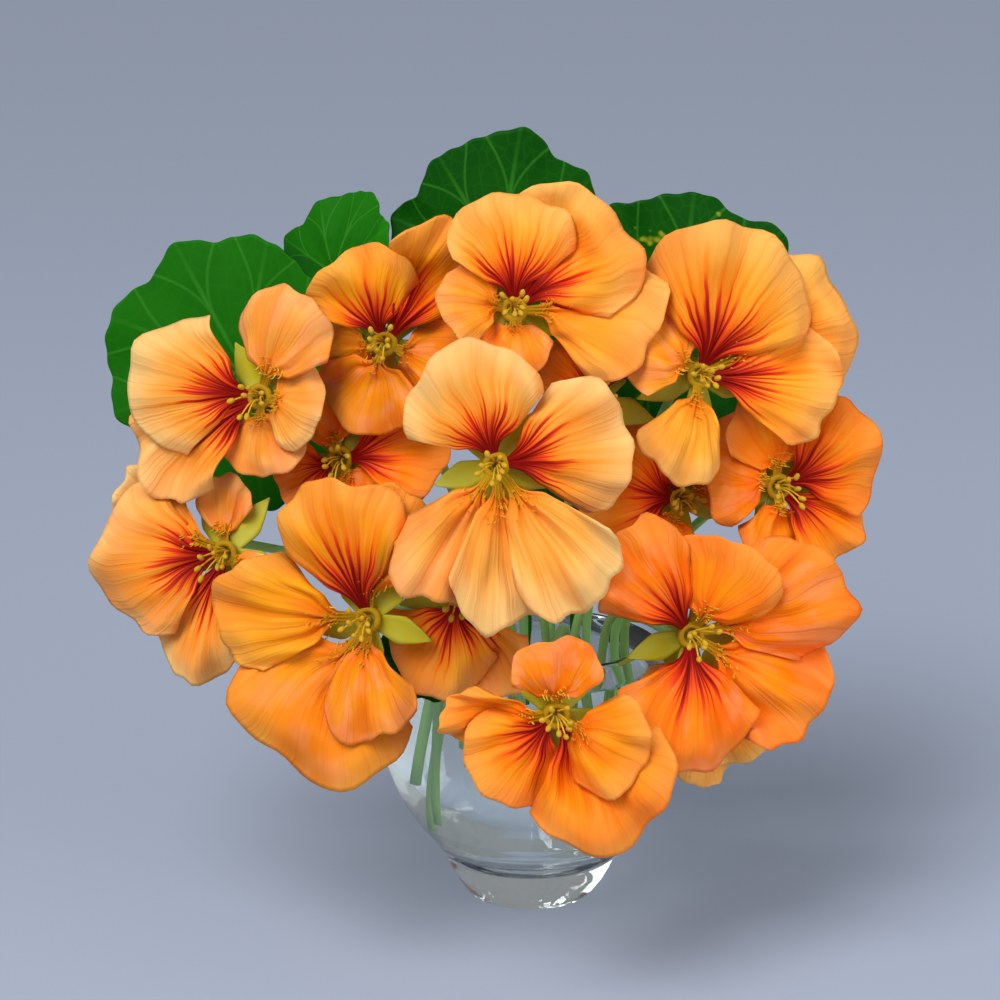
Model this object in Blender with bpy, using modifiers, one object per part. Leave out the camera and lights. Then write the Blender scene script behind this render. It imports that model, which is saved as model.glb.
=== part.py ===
"""A cut bunch of nasturtiums standing in water in a small round glass vase.

Sizes and places are in millimetres, and turn into metres where a mesh is made.
The middle of the vase's underside is the origin, +Z is up, and the bunch leans
towards -Y, the side that it is looked at from.
"""

import math
from dataclasses import dataclass, replace

import bmesh
import bpy
import numpy as np
from mathutils import Matrix, Vector
from mathutils.bvhtree import BVHTree

MM = 0.001
COLLECTION = "nasturtium_bunch"

# Vase and water
VASE_HEIGHT = 82.0
VASE_WALL = 2.6
VASE_STEPS = 20
VASE_OUTSIDE = (  # radius and height, from the foot to the rim
    (17.0, 0.0), (20.0, 1.5), (22.5, 5.0), (29.0, 17.0), (37.0, 27.5),
    (43.5, 43.0), (45.0, 56.0), (43.0, 70.0), (40.0, VASE_HEIGHT - 1.0),
)
VASE_FLOOR = ((0.0, 12.5), (12.0, 13.2), (21.0, 16.5), (27.5, 21.5))
WATER_TOP = 74.0
GAP = 0.3

# Blades of petals, sepals and leaves
PETAL_THICK = 0.7
CORNER_DROP = 0.28
NOTCH = 0.03
RIPPLE = 0.045
LEAF_THICK = 0.7
LEAF_RINGS = 2
LEAF_RIBS = 9
SEPAL_LENGTH = 15.0
SEPAL_ROOT = 1.6
CLAW_HALF_WIDTH = 1.2
UPPER_CLAW = 0.5
LOWER_CLAW = 0.3
CLAW_PART = 0.42
WIDEST_AT = 1.1
WIDEST_FAN = 0.85

# Throat, calyx, spur, stamens and stalk
THROAT_RADIUS = 3.0
RING_THICK = 1.3
CALYX_RADIUS = 3.3
CALYX_BACK = 1.9
CALYX_DEPTH = 8.0
SPUR_LENGTH = 20.0
STAMENS = 3
STAMEN_LENGTH = 11.0
STALK_RADIUS = 1.3
STALK_SIDES = 6
MOUTH_HEIGHT = 86.0
STALK_LEAD = 12.0
STALK_ARCH = (0.0, 5.0, 3.0)
STALK_SPREAD = 1.12
RIM_CLEARANCE = 6.0
WALL_CLEARANCE = 6.0

# Room that one blade leaves in front of or behind the next
CLEAR_REACH = 9.0
LEAF_REACH = 16.0
SIBLING_REACH = 5.0
SEPAL_REACH = 5.0
CLEAR_GAP = 1.3
CLEAR_SLOPE = 0.7
BEHIND_ALL = 400.0
SEPAL_ROOM_DEPTH = 7.5
CUP_ROOM = 6.0
CUP_ROOM_DEPTH = 10.5
WELD = 0.01
SHARP_PETAL = 50.0
SHARP_GLASS = 40.0

GREEN = (0.23, 0.42, 0.08)
LEAF_GREEN = (0.01, 0.15, 0.01)
TONES = {
    "cream": (0.90, 0.60, 0.30),
    "apricot": (0.90, 0.38, 0.10),
    "orange": (0.90, 0.24, 0.02),
    "golden": (0.68, 0.32, 0.03),
}


@dataclass(frozen=True)
class Petal:
    """One petal: its direction seen from the front, its size and how it bends."""

    angle: float
    length: float
    width: float
    lift: float = 42.0
    curl: float = -55.0
    fold: float = 0.0
    upper: bool = False


@dataclass(frozen=True)
class Bloom:
    """One bloom: its throat, the way it faces, its colour, petals and stalk."""

    throat: tuple
    faces: tuple
    tone: str
    petals: tuple
    mouth: tuple
    foot: float
    spur_turn: float = 0.0
    cells: int = 4


@dataclass(frozen=True)
class Leaf:
    """One shield leaf: its middle, the way it faces, its size and its stalk."""

    middle: tuple
    faces: tuple
    radius: float
    roll: float
    fold: float
    mouth: tuple
    foot: float
    in_front: bool = False


BLOOMS = (
    # the lowest one, which hangs in front of the vase
    Bloom((6, -80, 84), (6, 8), "orange", (
        Petal(330, 27, 24, lift=58, curl=-60, fold=-0.5),
        Petal(303, 38, 34, upper=True), Petal(222, 27, 26, upper=True),
        Petal(178, 31, 14, fold=0.3), Petal(92, 21, 26),
    ), (10, -27), 40),
    # the large one in the middle
    Bloom((-10, -58, 147), (0, 14), "cream", (
        Petal(305, 46, 24), Petal(273, 44, 23), Petal(238, 41, 23, fold=-0.4),
        Petal(110, 33, 32, upper=True), Petal(14, 37, 29, upper=True),
    ), (4, -14), 46),
    # low on the right
    Bloom((43, -58, 99), (14, 12), "orange", (
        Petal(127, 37, 25, upper=True), Petal(258, 36, 32, upper=True),
        Petal(67, 31, 34, lift=62, curl=-62), Petal(17, 44, 29), Petal(324, 41, 27),
    ), (21, -20), 22, spur_turn=-60),
    # low on the left
    Bloom((-45, -56, 103), (-14, 10), "golden", (
        Petal(280, 34, 23, lift=55), Petal(178, 42, 26), Petal(247, 46, 42),
        Petal(104, 40, 29, upper=True), Petal(82, 36, 22, lift=30),
    ), (-24, -17), 30, spur_turn=-70),
    # top, in the middle
    Bloom((-5, -28, 183), (4, 24), "apricot", (
        Petal(93, 31, 28, upper=True), Petal(42, 38, 34, upper=True),
        Petal(172, 20, 20), Petal(268, 18, 24), Petal(352, 40, 30),
    ), (-2, 8), 52),
    # top, on the right
    Bloom((46, -30, 165), (14, 14), "apricot", (
        Petal(70, 42, 42, upper=True), Petal(350, 38, 26, upper=True),
        Petal(22, 47, 34, lift=28), Petal(145, 23, 25), Petal(250, 30, 20),
    ), (17, 4), 40, spur_turn=110),
    # top, on the left
    Bloom((-76, -22, 157), (-18, 12), "cream", (
        Petal(174, 36, 32, upper=True), Petal(219, 40, 25, upper=True),
        Petal(70, 30, 24, lift=30), Petal(350, 20, 20), Petal(285, 22, 20),
    ), (-22, 2), 38),
    # left, half way down
    Bloom((-86, -32, 114), (-20, 6), "cream", (
        Petal(190, 36, 36, upper=True), Petal(258, 35, 24, upper=True),
        Petal(151, 34, 18, fold=0.4), Petal(88, 19, 14), Petal(338, 15, 9),
    ), (-22, -9), 26),
    # right, half way down
    Bloom((69, -26, 132), (20, 8), "orange", (
        Petal(27, 30, 29, upper=True), Petal(313, 27, 19, upper=True),
        Petal(101, 25, 24), Petal(160, 25, 24), Petal(258, 22, 18),
    ), (25, -8), 48),
    # top, left of the middle
    Bloom((-41, -24, 172), (-6, 16), "golden", (
        Petal(113, 27, 29, upper=True), Petal(52, 38, 25, upper=True),
        Petal(257, 27, 25), Petal(338, 24, 20), Petal(205, 17, 16),
    ), (-12, 8), 44, spur_turn=-120),
    # under the large one
    Bloom((-20, -50, 108), (0, -6), "apricot", (
        Petal(250, 28, 26, upper=True), Petal(289, 30, 24, upper=True),
        Petal(30, 14, 16),
    ), (-5, -24), 50, spur_turn=80, cells=3),
    # behind the large one, on the right
    Bloom((18, -34, 157), (6, 16), "orange", (
        Petal(73, 29, 29, upper=True), Petal(140, 17, 18, upper=True),
        Petal(250, 14, 14),
    ), (6, -3), 54, cells=3),
    # behind the large one, on the left
    Bloom((-54, -34, 138), (-10, 10), "orange", (
        Petal(12, 32, 24, upper=True), Petal(205, 18, 18, upper=True),
        Petal(110, 15, 16), Petal(300, 15, 16),
    ), (-13, -11), 46, cells=3),
    # behind the ones on the right
    Bloom((42, -37, 127), (8, 12), "orange", (
        Petal(165, 30, 28, upper=True), Petal(100, 21, 28, upper=True),
        Petal(20, 15, 18), Petal(240, 20, 22),
    ), (13, -12), 52, cells=3),
    # the lowest one behind, on the right
    Bloom((47, -40, 77), (16, 0), "apricot", (
        Petal(318, 25, 25, upper=True), Petal(268, 26, 17, upper=True),
        Petal(175, 18, 18), Petal(30, 20, 18),
    ), (27, -14), 50, spur_turn=75, cells=3),
)

LEAVES = (
    Leaf((-29, -43, 87), (-8, -4), 13, 0, 0.10, (-14, -24), 56, in_front=True),
    Leaf((-84, 18, 155), (-10, 8), 39, 20, 0.10, (-25, 13), 46),
    Leaf((-57, 18, 183), (-48, 6), 24, 80, -0.25, (-14, 18), 50),
    Leaf((-9, 24, 187), (8, 12), 34, 60, 0.12, (-1, 24), 54),
    Leaf((43, 20, 168), (12, 14), 37, 10, 0.15, (14, 22), 50),
    Leaf((68, 16, 153), (30, 6), 25, 0, 0.10, (25, 12), 56),
    Leaf((4, 10, 122), (0, 10), 14, 30, 0.05, (6, 17), 58),
)


def clear_scene():
    """Remove whatever the file holds."""
    for thing in list(bpy.data.objects):
        bpy.data.objects.remove(thing, do_unlink=True)


def make_collection(name):
    """Add a collection to the scene."""
    group = bpy.data.collections.new(name)
    bpy.context.scene.collection.children.link(group)
    return group


def make_material(name, colour, roughness, alpha=1.0):
    """A Principled material of one colour."""
    material = bpy.data.materials.new(name)
    material.use_nodes = True
    shader = material.node_tree.nodes["Principled BSDF"]
    shader.inputs["Base Color"].default_value = (*colour, 1.0)
    shader.inputs["Roughness"].default_value = roughness
    shader.inputs["Metallic"].default_value = 0.0
    shader.inputs["Alpha"].default_value = alpha
    material.diffuse_color = (*colour, alpha)
    return material


def add_object(name, mesh, group, material=None):
    """Wrap a mesh in an object of a collection."""
    thing = bpy.data.objects.new(name, mesh)
    group.objects.link(thing)
    if material:
        mesh.materials.append(material)
    return thing


def mesh_from(name, points, faces):
    """A mesh in metres from points in millimetres."""
    mesh = bpy.data.meshes.new(name)
    mesh.from_pydata([tuple(float(c) * MM for c in point) for point in points], [], faces)
    mesh.update()
    return mesh


def applied(thing):
    """The object with its modifiers worked into its mesh."""
    bpy.context.view_layer.update()
    shape = thing.evaluated_get(bpy.context.evaluated_depsgraph_get())
    mesh = bpy.data.meshes.new_from_object(shape)
    mesh.name = thing.name
    thing.modifiers.clear()
    thing.data = mesh
    return thing


def smoothstep(value):
    """0 to 1 with no slope at either end."""
    value = np.clip(value, 0.0, 1.0)
    return value * value * (3.0 - 2.0 * value)


def facing(azimuth, elevation):
    """Right, up and outward directions of a bloom or leaf that faces this way."""
    turn, tilt = math.radians(azimuth), math.radians(elevation)
    outward = np.array((
        math.sin(turn) * math.cos(tilt), -math.cos(turn) * math.cos(tilt), math.sin(tilt)))
    right = np.array((math.cos(turn), math.sin(turn), 0.0))
    return right, np.cross(outward, right), outward


def petal_surface(bloom, petal, seed):
    """Points of a petal's middle surface, as rows from its claw to its margin."""
    right, up, outward = facing(*bloom.faces)
    angle = math.radians(petal.angle)
    along = math.cos(angle) * right + math.sin(angle) * up
    across = -math.sin(angle) * right + math.cos(angle) * up
    draw = np.random.default_rng(seed)
    phase, second = draw.uniform(0.0, 2.0 * math.pi, 2)
    u = np.linspace(0.0, 1.0, bloom.cells + 1)[:, None]
    v = np.linspace(-1.0, 1.0, bloom.cells + 1)[None, :]
    claw = UPPER_CLAW if petal.upper else LOWER_CLAW
    half_fan = math.asin(min(WIDEST_FAN, petal.width / (WIDEST_AT * petal.length)))
    fan = v * half_fan * (claw + (1.0 - claw) * smoothstep((u - 0.05) / CLAW_PART))
    reach = petal.length * (
        1.0 - CORNER_DROP * np.abs(v) ** 2.4 + NOTCH * np.sin(5.0 * v + second))
    lift, curl = math.radians(petal.lift), math.radians(petal.curl)
    out = reach * (np.sin(lift + curl * u) - math.sin(lift)) / curl
    height = reach * (math.cos(lift) - np.cos(lift + curl * u)) / curl
    height = height + petal.fold * petal.width * 0.5 * v * v * smoothstep(u)
    height = height + RIPPLE * petal.length * u * u * np.sin(4.2 * v + phase)
    radial = THROAT_RADIUS - 0.4 + out * np.cos(fan)
    sideways = out * np.sin(fan) + v * CLAW_HALF_WIDTH * (1.0 - u)
    throat = np.array(bloom.throat, dtype=float)
    return (throat + radial[..., None] * along + sideways[..., None] * across
            + height[..., None] * outward)


def grid_faces(cells):
    """Triangles of a square grid of points."""
    faces = []
    for i in range(cells):
        for j in range(cells):
            a = i * (cells + 1) + j
            b, c, d = a + 1, a + cells + 2, a + cells + 1
            faces += [(a, b, c), (a, c, d)] if (i + j) % 2 else [(a, b, d), (b, c, d)]
    return faces


class Crowd:
    """The blades that are in place, which the next ones are bent clear of."""

    def __init__(self):
        self.points = []
        self.faces = []
        self.tree = None

    def add(self, points, faces):
        """Take in one blade."""
        start = len(self.points)
        self.points += [Vector(p) for p in points]
        self.faces += [tuple(start + i for i in face) for face in faces]
        self.tree = BVHTree.FromPolygons(self.points, self.faces)

    def push(self, point, reach):
        """How far a point has to go back to lie behind what is near it in the view."""
        if self.tree is None:
            return 0.0
        furthest = 0.0
        spots = [(0.0, 0.0)]
        for ring in (0.5, 1.0):
            for k in range(8):
                turn = math.pi * (k + ring) / 4.0
                spots.append((reach * ring * math.cos(turn), reach * ring * math.sin(turn)))
        for dx, dz in spots:
            start = Vector((point[0] + dx, BEHIND_ALL, point[2] + dz))
            hit = self.tree.ray_cast(start, Vector((0.0, -1.0, 0.0)))[0]
            if hit:
                furthest = max(furthest, hit.y + CLEAR_GAP - point[1])
        return furthest


def add_plate(crowd, bloom, radius, depth):
    """Take in a round plate behind a throat, for the room of its sepals or its cup."""
    right, up, outward = facing(*bloom.faces)
    middle = np.array(bloom.throat) - depth * outward
    rim = [middle + radius * (math.cos(turn) * right + math.sin(turn) * up)
           for turn in np.linspace(0.0, 2.0 * math.pi, 8, endpoint=False)]
    crowd.add(rim, [(0, k, k + 1) for k in range(1, 7)])


def add_rod(crowd, route):
    """Take a stalk into the crowd, as a narrow strip on its far side."""
    back = [point + Vector((0.0, STALK_RADIUS, 0.0)) for point in route[:-1]]
    side = Vector((STALK_RADIUS, 0.0, 0.0))
    points = [spot for point in back for spot in (point - side, point + side)]
    crowd.add(points, [(k, k + 1, k + 3, k + 2) for k in range(0, len(points) - 2, 2)])


def eased(points, spots, shifts):
    """The least shift at points that covers the shifts at spots and changes gently."""
    apart = np.linalg.norm(points[:, None, :] - spots[None, :, :], axis=2)
    return np.maximum(0.0, (shifts[None, :] - CLEAR_SLOPE * apart).max(axis=1))


def layered(points, siblings):
    """Push the far part of a petal back behind its siblings in the same bloom."""
    flat = points.reshape(-1, 3)
    shifts = np.array([siblings.push(point, SIBLING_REACH) for point in flat])
    moved = points.copy()
    part = np.linspace(0.0, 1.0, len(points))[:, None]
    shift = eased(flat, flat, shifts).reshape(points.shape[:2])
    moved[..., 1] += shift * smoothstep((part - 0.1) / 0.4)
    return moved


def bend_clear(centre, blades, crowd):
    """Push a bloom back behind the others: all of it, and its blades further where needed."""
    flat = np.concatenate([points.reshape(-1, 3) for points in blades])
    shifts = np.array([crowd.push(point, CLEAR_REACH) for point in flat])
    whole = float(eased(centre[None, :], flat, shifts)[0])
    bent = []
    for points in blades:
        part = np.linspace(0.0, 1.0, len(points))[:, None]
        shift = eased(points.reshape(-1, 3), flat, shifts).reshape(points.shape[:2])
        moved = points.copy()
        moved[..., 1] += whole + (shift - whole) * smoothstep(part / 0.4)
        bent.append(moved)
    return centre + np.array((0.0, whole, 0.0)), bent


def thin_sheet(name, points, faces, thickness, group):
    """A blade: an open surface given its thickness."""
    thing = add_object(name, mesh_from(name, points, faces), group)
    wall = thing.modifiers.new("thickness", "SOLIDIFY")
    wall.thickness = thickness * MM
    wall.offset = 0.0
    return applied(thing)


def tube(name, points, radii, sides, group):
    """A round bar through points, as a closed mesh."""
    curve = bpy.data.curves.new(name, "CURVE")
    curve.dimensions = "3D"
    curve.bevel_depth = MM
    curve.bevel_resolution = max(0, (sides - 4) // 2)
    curve.use_fill_caps = True
    spline = curve.splines.new("POLY")
    spline.points.add(len(points) - 1)
    for spot, point, radius in zip(spline.points, points, radii):
        spot.co = (*(float(c) * MM for c in point), 1.0)
        spot.radius = radius
    thing = bpy.data.objects.new(name + "_path", curve)
    group.objects.link(thing)
    bpy.context.view_layer.update()
    shape = thing.evaluated_get(bpy.context.evaluated_depsgraph_get())
    mesh = bpy.data.meshes.new_from_object(shape)
    work = bmesh.new()
    work.from_mesh(mesh)
    bmesh.ops.remove_doubles(work, verts=work.verts, dist=WELD * MM)
    bmesh.ops.recalc_face_normals(work, faces=work.faces)
    work.to_mesh(mesh)
    work.free()
    solid = bpy.data.objects.new(name, mesh)
    solid.matrix_world = thing.matrix_world
    group.objects.link(solid)
    bpy.data.objects.remove(thing)
    return solid


def keep_largest(mesh):
    """Drop loose scraps and sealed hollows, which leaves the one outer body."""
    work = bmesh.new()
    work.from_mesh(mesh)
    left = set(work.faces)
    shells = []
    while left:
        shell, front = set(), [left.pop()]
        while front:
            face = front.pop()
            shell.add(face)
            for edge in face.edges:
                for near in edge.link_faces:
                    if near in left:
                        left.remove(near)
                        front.append(near)
        shells.append(shell)
    shells.sort(key=lambda shell: sum(face.calc_area() for face in shell))
    scraps = [face for shell in shells[:-1] for face in shell]
    bmesh.ops.delete(work, geom=scraps, context="FACES")
    work.to_mesh(mesh)
    work.free()


def fuse(base, pieces, material):
    """Join a collection's pieces to a base in one Boolean union, and remove them."""
    join = base.modifiers.new("join", "BOOLEAN")
    join.operation = "UNION"
    join.operand_type = "COLLECTION"
    join.collection = pieces
    join.solver = "EXACT"
    join.use_self = True
    applied(base)
    for thing in list(pieces.objects):
        bpy.data.objects.remove(thing, do_unlink=True)
    bpy.data.collections.remove(pieces)
    keep_largest(base.data)
    base.data.materials.clear()
    base.data.materials.append(material)
    base.data.shade_smooth()
    base.data.set_sharp_from_angle(angle=math.radians(SHARP_PETAL))
    return base


def throat_ring(name, bloom, centre, group):
    """The short collar that the claws of the petals grow from."""
    bpy.ops.mesh.primitive_torus_add(
        major_segments=6, minor_segments=3,
        major_radius=(THROAT_RADIUS - 0.1) * MM, minor_radius=RING_THICK * 0.75 * MM)
    ring = bpy.context.object
    ring.name = name
    for other in list(ring.users_collection):
        other.objects.unlink(ring)
    group.objects.link(ring)
    turn = Vector((0, 0, 1)).rotation_difference(Vector(facing(*bloom.faces)[2]))
    ring.data.transform(Matrix.Translation(Vector(centre) * MM) @ turn.to_matrix().to_4x4())
    return ring


def calyx(name, bloom, centre, crowd, group):
    """The green cup behind the petals, drawn out into five sepals and the spur."""
    right, up, outward = (Vector(way) for way in facing(*bloom.faces))
    frame = Matrix((right, up, outward)).transposed().to_4x4()
    frame.translation = Vector(centre)
    front = -RING_THICK * 0.75 - GAP
    work = bmesh.new()
    bmesh.ops.create_cone(
        work, cap_ends=True, segments=5, radius1=CALYX_BACK, radius2=CALYX_RADIUS,
        depth=CALYX_DEPTH - SEPAL_ROOT,
        matrix=Matrix.Translation((0, 0, front - (CALYX_DEPTH + SEPAL_ROOT) / 2)))
    work.faces.ensure_lookup_table()
    lid = max(work.faces, key=lambda face: face.calc_center_median().z)
    drawn = bmesh.ops.extrude_face_region(work, geom=[lid])["geom"]
    moved = [v for v in drawn if isinstance(v, bmesh.types.BMVert)]
    bmesh.ops.translate(work, verts=moved, vec=(0, 0, SEPAL_ROOT))
    bmesh.ops.delete(work, geom=[lid], context="FACES_ONLY")
    work.normal_update()
    band = [face for face in work.faces if len(face.verts) == 4
            and face.calc_center_median().z > front - SEPAL_ROOT]
    ways = [Vector((*face.calc_center_median().xy, 0)).normalized() for face in band]
    sepals = [[] for _ in ways]
    for out, wide, thick, part in ((0.45, 1.5, 0.5, 0.45), (0.55, 0.2, 0.8, 1.0)):
        band = bmesh.ops.extrude_discrete_faces(work, faces=band)["faces"]
        for face in band:
            middle = face.calc_center_median()
            number = max(range(len(ways)), key=lambda k: ways[k].dot(middle))
            sepals[number] += [(vert, part) for vert in face.verts]
            way = ways[number]
            across = Vector((-way.y, way.x, 0))
            for vert in face.verts:
                offset = vert.co - middle
                vert.co = (middle + way * out * SEPAL_LENGTH + across * offset.dot(across) * wide
                           + Vector((0, 0, offset.z * thick - 1.6)))
    end = min((face for face in work.faces if len(face.verts) == 5),
              key=lambda face: face.calc_center_median().z)
    turn = math.radians(bloom.spur_turn)
    hang = Vector((math.sin(turn), -math.cos(turn), 0))
    for part, narrow in ((0.3, 0.75), (0.35, 0.7), (0.35, 0.6)):
        new = bmesh.ops.extrude_face_region(work, geom=[end])["geom"]
        bmesh.ops.delete(work, geom=[end], context="FACES_ONLY")
        end = next(face for face in new if isinstance(face, bmesh.types.BMFace))
        middle = end.calc_center_median()
        way = hang * 0.9 + Vector((0, 0, -0.45))
        for vert in end.verts:
            vert.co = middle + (vert.co - middle) * narrow + way * SPUR_LENGTH * part
    bmesh.ops.transform(work, matrix=frame, verts=work.verts)
    for sepal in sepals:
        slant = max(crowd.push(vert.co, SEPAL_REACH) / part for vert, part in sepal)
        for vert, part in sepal:
            vert.co.y += slant * part
    bmesh.ops.scale(work, vec=(MM, MM, MM), verts=work.verts)
    bmesh.ops.triangulate(work, faces=work.faces)
    bmesh.ops.recalc_face_normals(work, faces=work.faces)
    mesh = bpy.data.meshes.new(name)
    work.to_mesh(mesh)
    work.free()
    return add_object(name, mesh, group)


def smooth_route(points, steps):
    """A smooth curve through points, as steps points for each stretch."""
    points = [Vector(p) for p in points]
    ends = [points[0] * 2 - points[1], *points, points[-1] * 2 - points[-2]]
    route = []
    for a, b, c, d in zip(ends, ends[1:], ends[2:], ends[3:]):
        for k in range(steps):
            t = k / steps
            route.append(0.5 * ((2 * b) + (c - a) * t + (2 * a - 5 * b + 4 * c - d) * t * t
                                + (3 * b - a - 3 * c + d) * t ** 3))
    return [*route, points[-1]]


def stalk_route(start, heading, mouth, foot):
    """A stalk from a bloom or leaf, over the rim and down into the water."""
    top = Vector((*mouth, MOUTH_HEIGHT))
    start, heading = Vector(start), Vector(heading)
    bend = start + heading * STALK_LEAD
    bend.z = max(bend.z, MOUTH_HEIGHT + RIM_CLEARANCE)
    middle = bend.lerp(top, 0.5) + Vector(STALK_ARCH)
    route = smooth_route((start, bend, middle, top), 2)
    lean = min(STALK_SPREAD, (inside_radius(foot) - WALL_CLEARANCE) / math.hypot(*mouth))
    low = Vector((mouth[0] * lean, mouth[1] * lean, foot))
    return [*route, low]


def build_stalk(name, bloom, centre, crowd, group, material):
    """Calyx, sepals, spur, stamens and stalk of one bloom, in one body."""
    right, up, outward = facing(*bloom.faces)
    cup = calyx(name, bloom, centre, crowd, group)
    pieces = make_collection(name + "_pieces")
    front = centre - (RING_THICK * 0.75 + GAP) * outward
    root = front - (CALYX_DEPTH - 1.2) * outward + 0.6 * up
    route = stalk_route(root, -0.95 * outward - 0.15 * up, bloom.mouth, bloom.foot)
    tube(name + "_stem", route, [STALK_RADIUS] * len(route), STALK_SIDES, pieces)
    for k in range(STAMENS):
        spread = 2.0 * math.pi * (k + 0.5) / STAMENS
        lean = 0.28 * (math.cos(spread) * right + math.sin(spread) * up)
        foot = front - 0.8 * outward + 1.4 * lean
        tip = foot + STAMEN_LENGTH * (outward + lean * 0.9)
        tube(f"{name}_stamen_{k}", (foot, tip), (0.35, 0.6), 4, pieces)
    fuse(cup, pieces, material)
    return route


def place_blooms():
    """Blades of every bloom, from the one nearest the front to the one furthest back."""
    crowd = Crowd()
    placed = []
    for number, bloom in enumerate(BLOOMS, 1):
        faces = grid_faces(bloom.cells)
        blades = []
        siblings = Crowd()
        for k, petal in enumerate(bloom.petals):
            points = petal_surface(bloom, petal, 100 * number + k)
            points = layered(points, siblings)
            siblings.add(points.reshape(-1, 3), faces)
            blades.append(points)
        centre, blades = bend_clear(np.array(bloom.throat, dtype=float), blades, crowd)
        moved = replace(bloom, throat=tuple(centre))
        for points in blades:
            crowd.add(points.reshape(-1, 3), faces)
        add_plate(crowd, moved, SEPAL_LENGTH, SEPAL_ROOM_DEPTH)
        add_plate(crowd, moved, CUP_ROOM, CUP_ROOM_DEPTH)
        placed.append((f"bloom_{number:02d}", moved, blades))
    return placed, crowd


def build_bloom(name, bloom, blades, group, materials):
    """The petals of a bloom in one body, and its green parts and stalk in another."""
    faces = grid_faces(bloom.cells)
    pieces = make_collection(name + "_pieces")
    own = Crowd()
    for k, points in enumerate(blades):
        thin_sheet(f"{name}_petal_{k}", points.reshape(-1, 3), faces, PETAL_THICK, pieces)
        own.add(points.reshape(-1, 3), faces)
    centre = np.array(bloom.throat)
    ring = throat_ring(name + "_petals", bloom, centre, group)
    fuse(ring, pieces, materials[bloom.tone])
    return build_stalk(name + "_stalk", bloom, centre, own, group, materials["green"])


def leaf_surface(leaf):
    """Points of a shield leaf: its middle, then rings out to its waved margin."""
    right, up, outward = facing(*leaf.faces)
    centre = np.array(leaf.middle, dtype=float)
    points = [centre - 1.2 * outward]
    sectors = 2 * LEAF_RIBS
    for ring in range(1, LEAF_RINGS + 1):
        part = ring / LEAF_RINGS
        for k in range(sectors):
            turn = 2.0 * math.pi * k / sectors
            on_rib = k % 2 == 0
            radius = leaf.radius * part * (1.0 + part * part * (0.035 if on_rib else -0.035))
            radius *= 1.0 + 0.06 * part * math.cos(2.0 * turn + leaf.roll)
            x, y = radius * math.cos(turn), radius * math.sin(turn)
            lift = (0.7 if on_rib else -0.4) * part + 1.5 * part * part * math.sin(3.0 * turn)
            slant = math.radians(leaf.roll)
            over = x * math.cos(slant) + y * math.sin(slant)
            lift += leaf.fold * over * over / leaf.radius
            points.append(centre + x * right + y * up + lift * outward)
    faces = [(0, 1 + k, 1 + (k + 1) % sectors) for k in range(sectors)]
    for ring in range(1, LEAF_RINGS):
        first, second = 1 + (ring - 1) * sectors, 1 + ring * sectors
        for k in range(sectors):
            n = (k + 1) % sectors
            a, b, c, d = first + k, second + k, second + n, first + n
            faces += [(a, b, c), (a, c, d)] if k % 2 else [(a, b, d), (b, c, d)]
    return np.array(points), faces


def build_leaf(name, leaf, crowd, group, material):
    """A leaf with its stalk in one body, bent clear of what stands in front of it."""
    outward = facing(*leaf.faces)[2]
    points, faces = leaf_surface(leaf)
    points[:, 1] += [crowd.push(point, LEAF_REACH) for point in points]
    crowd.add(points, faces)
    blade = thin_sheet(name, points, faces, LEAF_THICK, group)
    pieces = make_collection(name + "_pieces")
    route = stalk_route(points[0], -outward, leaf.mouth, leaf.foot)
    tube(name + "_stem", route, [STALK_RADIUS] * len(route), STALK_SIDES, pieces)
    fuse(blade, pieces, material)
    return route


def turned(name, profile, group):
    """A turned solid from a profile of radius and height."""
    points = [(radius, 0.0, height) for radius, height in profile]
    mesh = bpy.data.meshes.new(name)
    mesh.from_pydata([tuple(c * MM for c in p) for p in points],
                     [(k, k + 1) for k in range(len(points) - 1)], [])
    thing = add_object(name, mesh, group)
    screw = thing.modifiers.new("turn", "SCREW")
    screw.steps = VASE_STEPS
    screw.render_steps = VASE_STEPS
    screw.use_merge_vertices = True
    screw.merge_threshold = WELD * MM
    return thing


def inside_radius(height, clearance=0.0):
    """Radius of the vase's inner wall at a height."""
    radii, heights = zip(*VASE_OUTSIDE)
    return float(np.interp(height, heights, radii)) - VASE_WALL - clearance


def build_vase(group, material):
    """The glass: a thick floor, a round belly and an open rim."""
    inner = [*VASE_FLOOR]
    for height in (28.0, 43.0, 56.0, 70.0, VASE_HEIGHT - 1.0):
        inner.append((inside_radius(height), height))
    rim = [(VASE_OUTSIDE[-1][0] - VASE_WALL * 0.7, VASE_HEIGHT),
           (VASE_OUTSIDE[-1][0] - VASE_WALL * 0.3, VASE_HEIGHT)]
    profile = [*inner, *rim, *reversed(VASE_OUTSIDE), (0.0, 0.0)]
    vase = applied(turned("vase", profile, group))
    vase.data.materials.append(material)
    vase.data.shade_smooth()
    vase.data.set_sharp_from_angle(angle=math.radians(SHARP_GLASS))
    return vase


def build_water(group, cutters, routes, material):
    """The water, with a plain hole for each stalk that stands in it."""
    wall = [(inside_radius(height, GAP), height) for height in (WATER_TOP, 70.0, 56.0, 43.0, 28.0)]
    floor = [(radius - 0.5 * GAP if radius else 0.0, height + GAP)
             for radius, height in reversed(VASE_FLOOR)]
    water = applied(turned("water", [(0.0, WATER_TOP), *wall, *floor], group))
    for number, route in enumerate(routes):
        top, low = route[-2], route[-1]
        way = (low - top).normalized()
        grown = STALK_RADIUS + GAP * 1.4
        hole = tube(f"hole_{number}", (top, low + way * GAP * 1.4), (grown, grown), STALK_SIDES, cutters)
        hole.hide_render = True
        hole.display_type = "WIRE"
    cut = water.modifiers.new("holes", "BOOLEAN")
    cut.operation = "DIFFERENCE"
    cut.operand_type = "COLLECTION"
    cut.collection = cutters
    cut.solver = "EXACT"
    water.data.materials.append(material)
    return water


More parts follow.
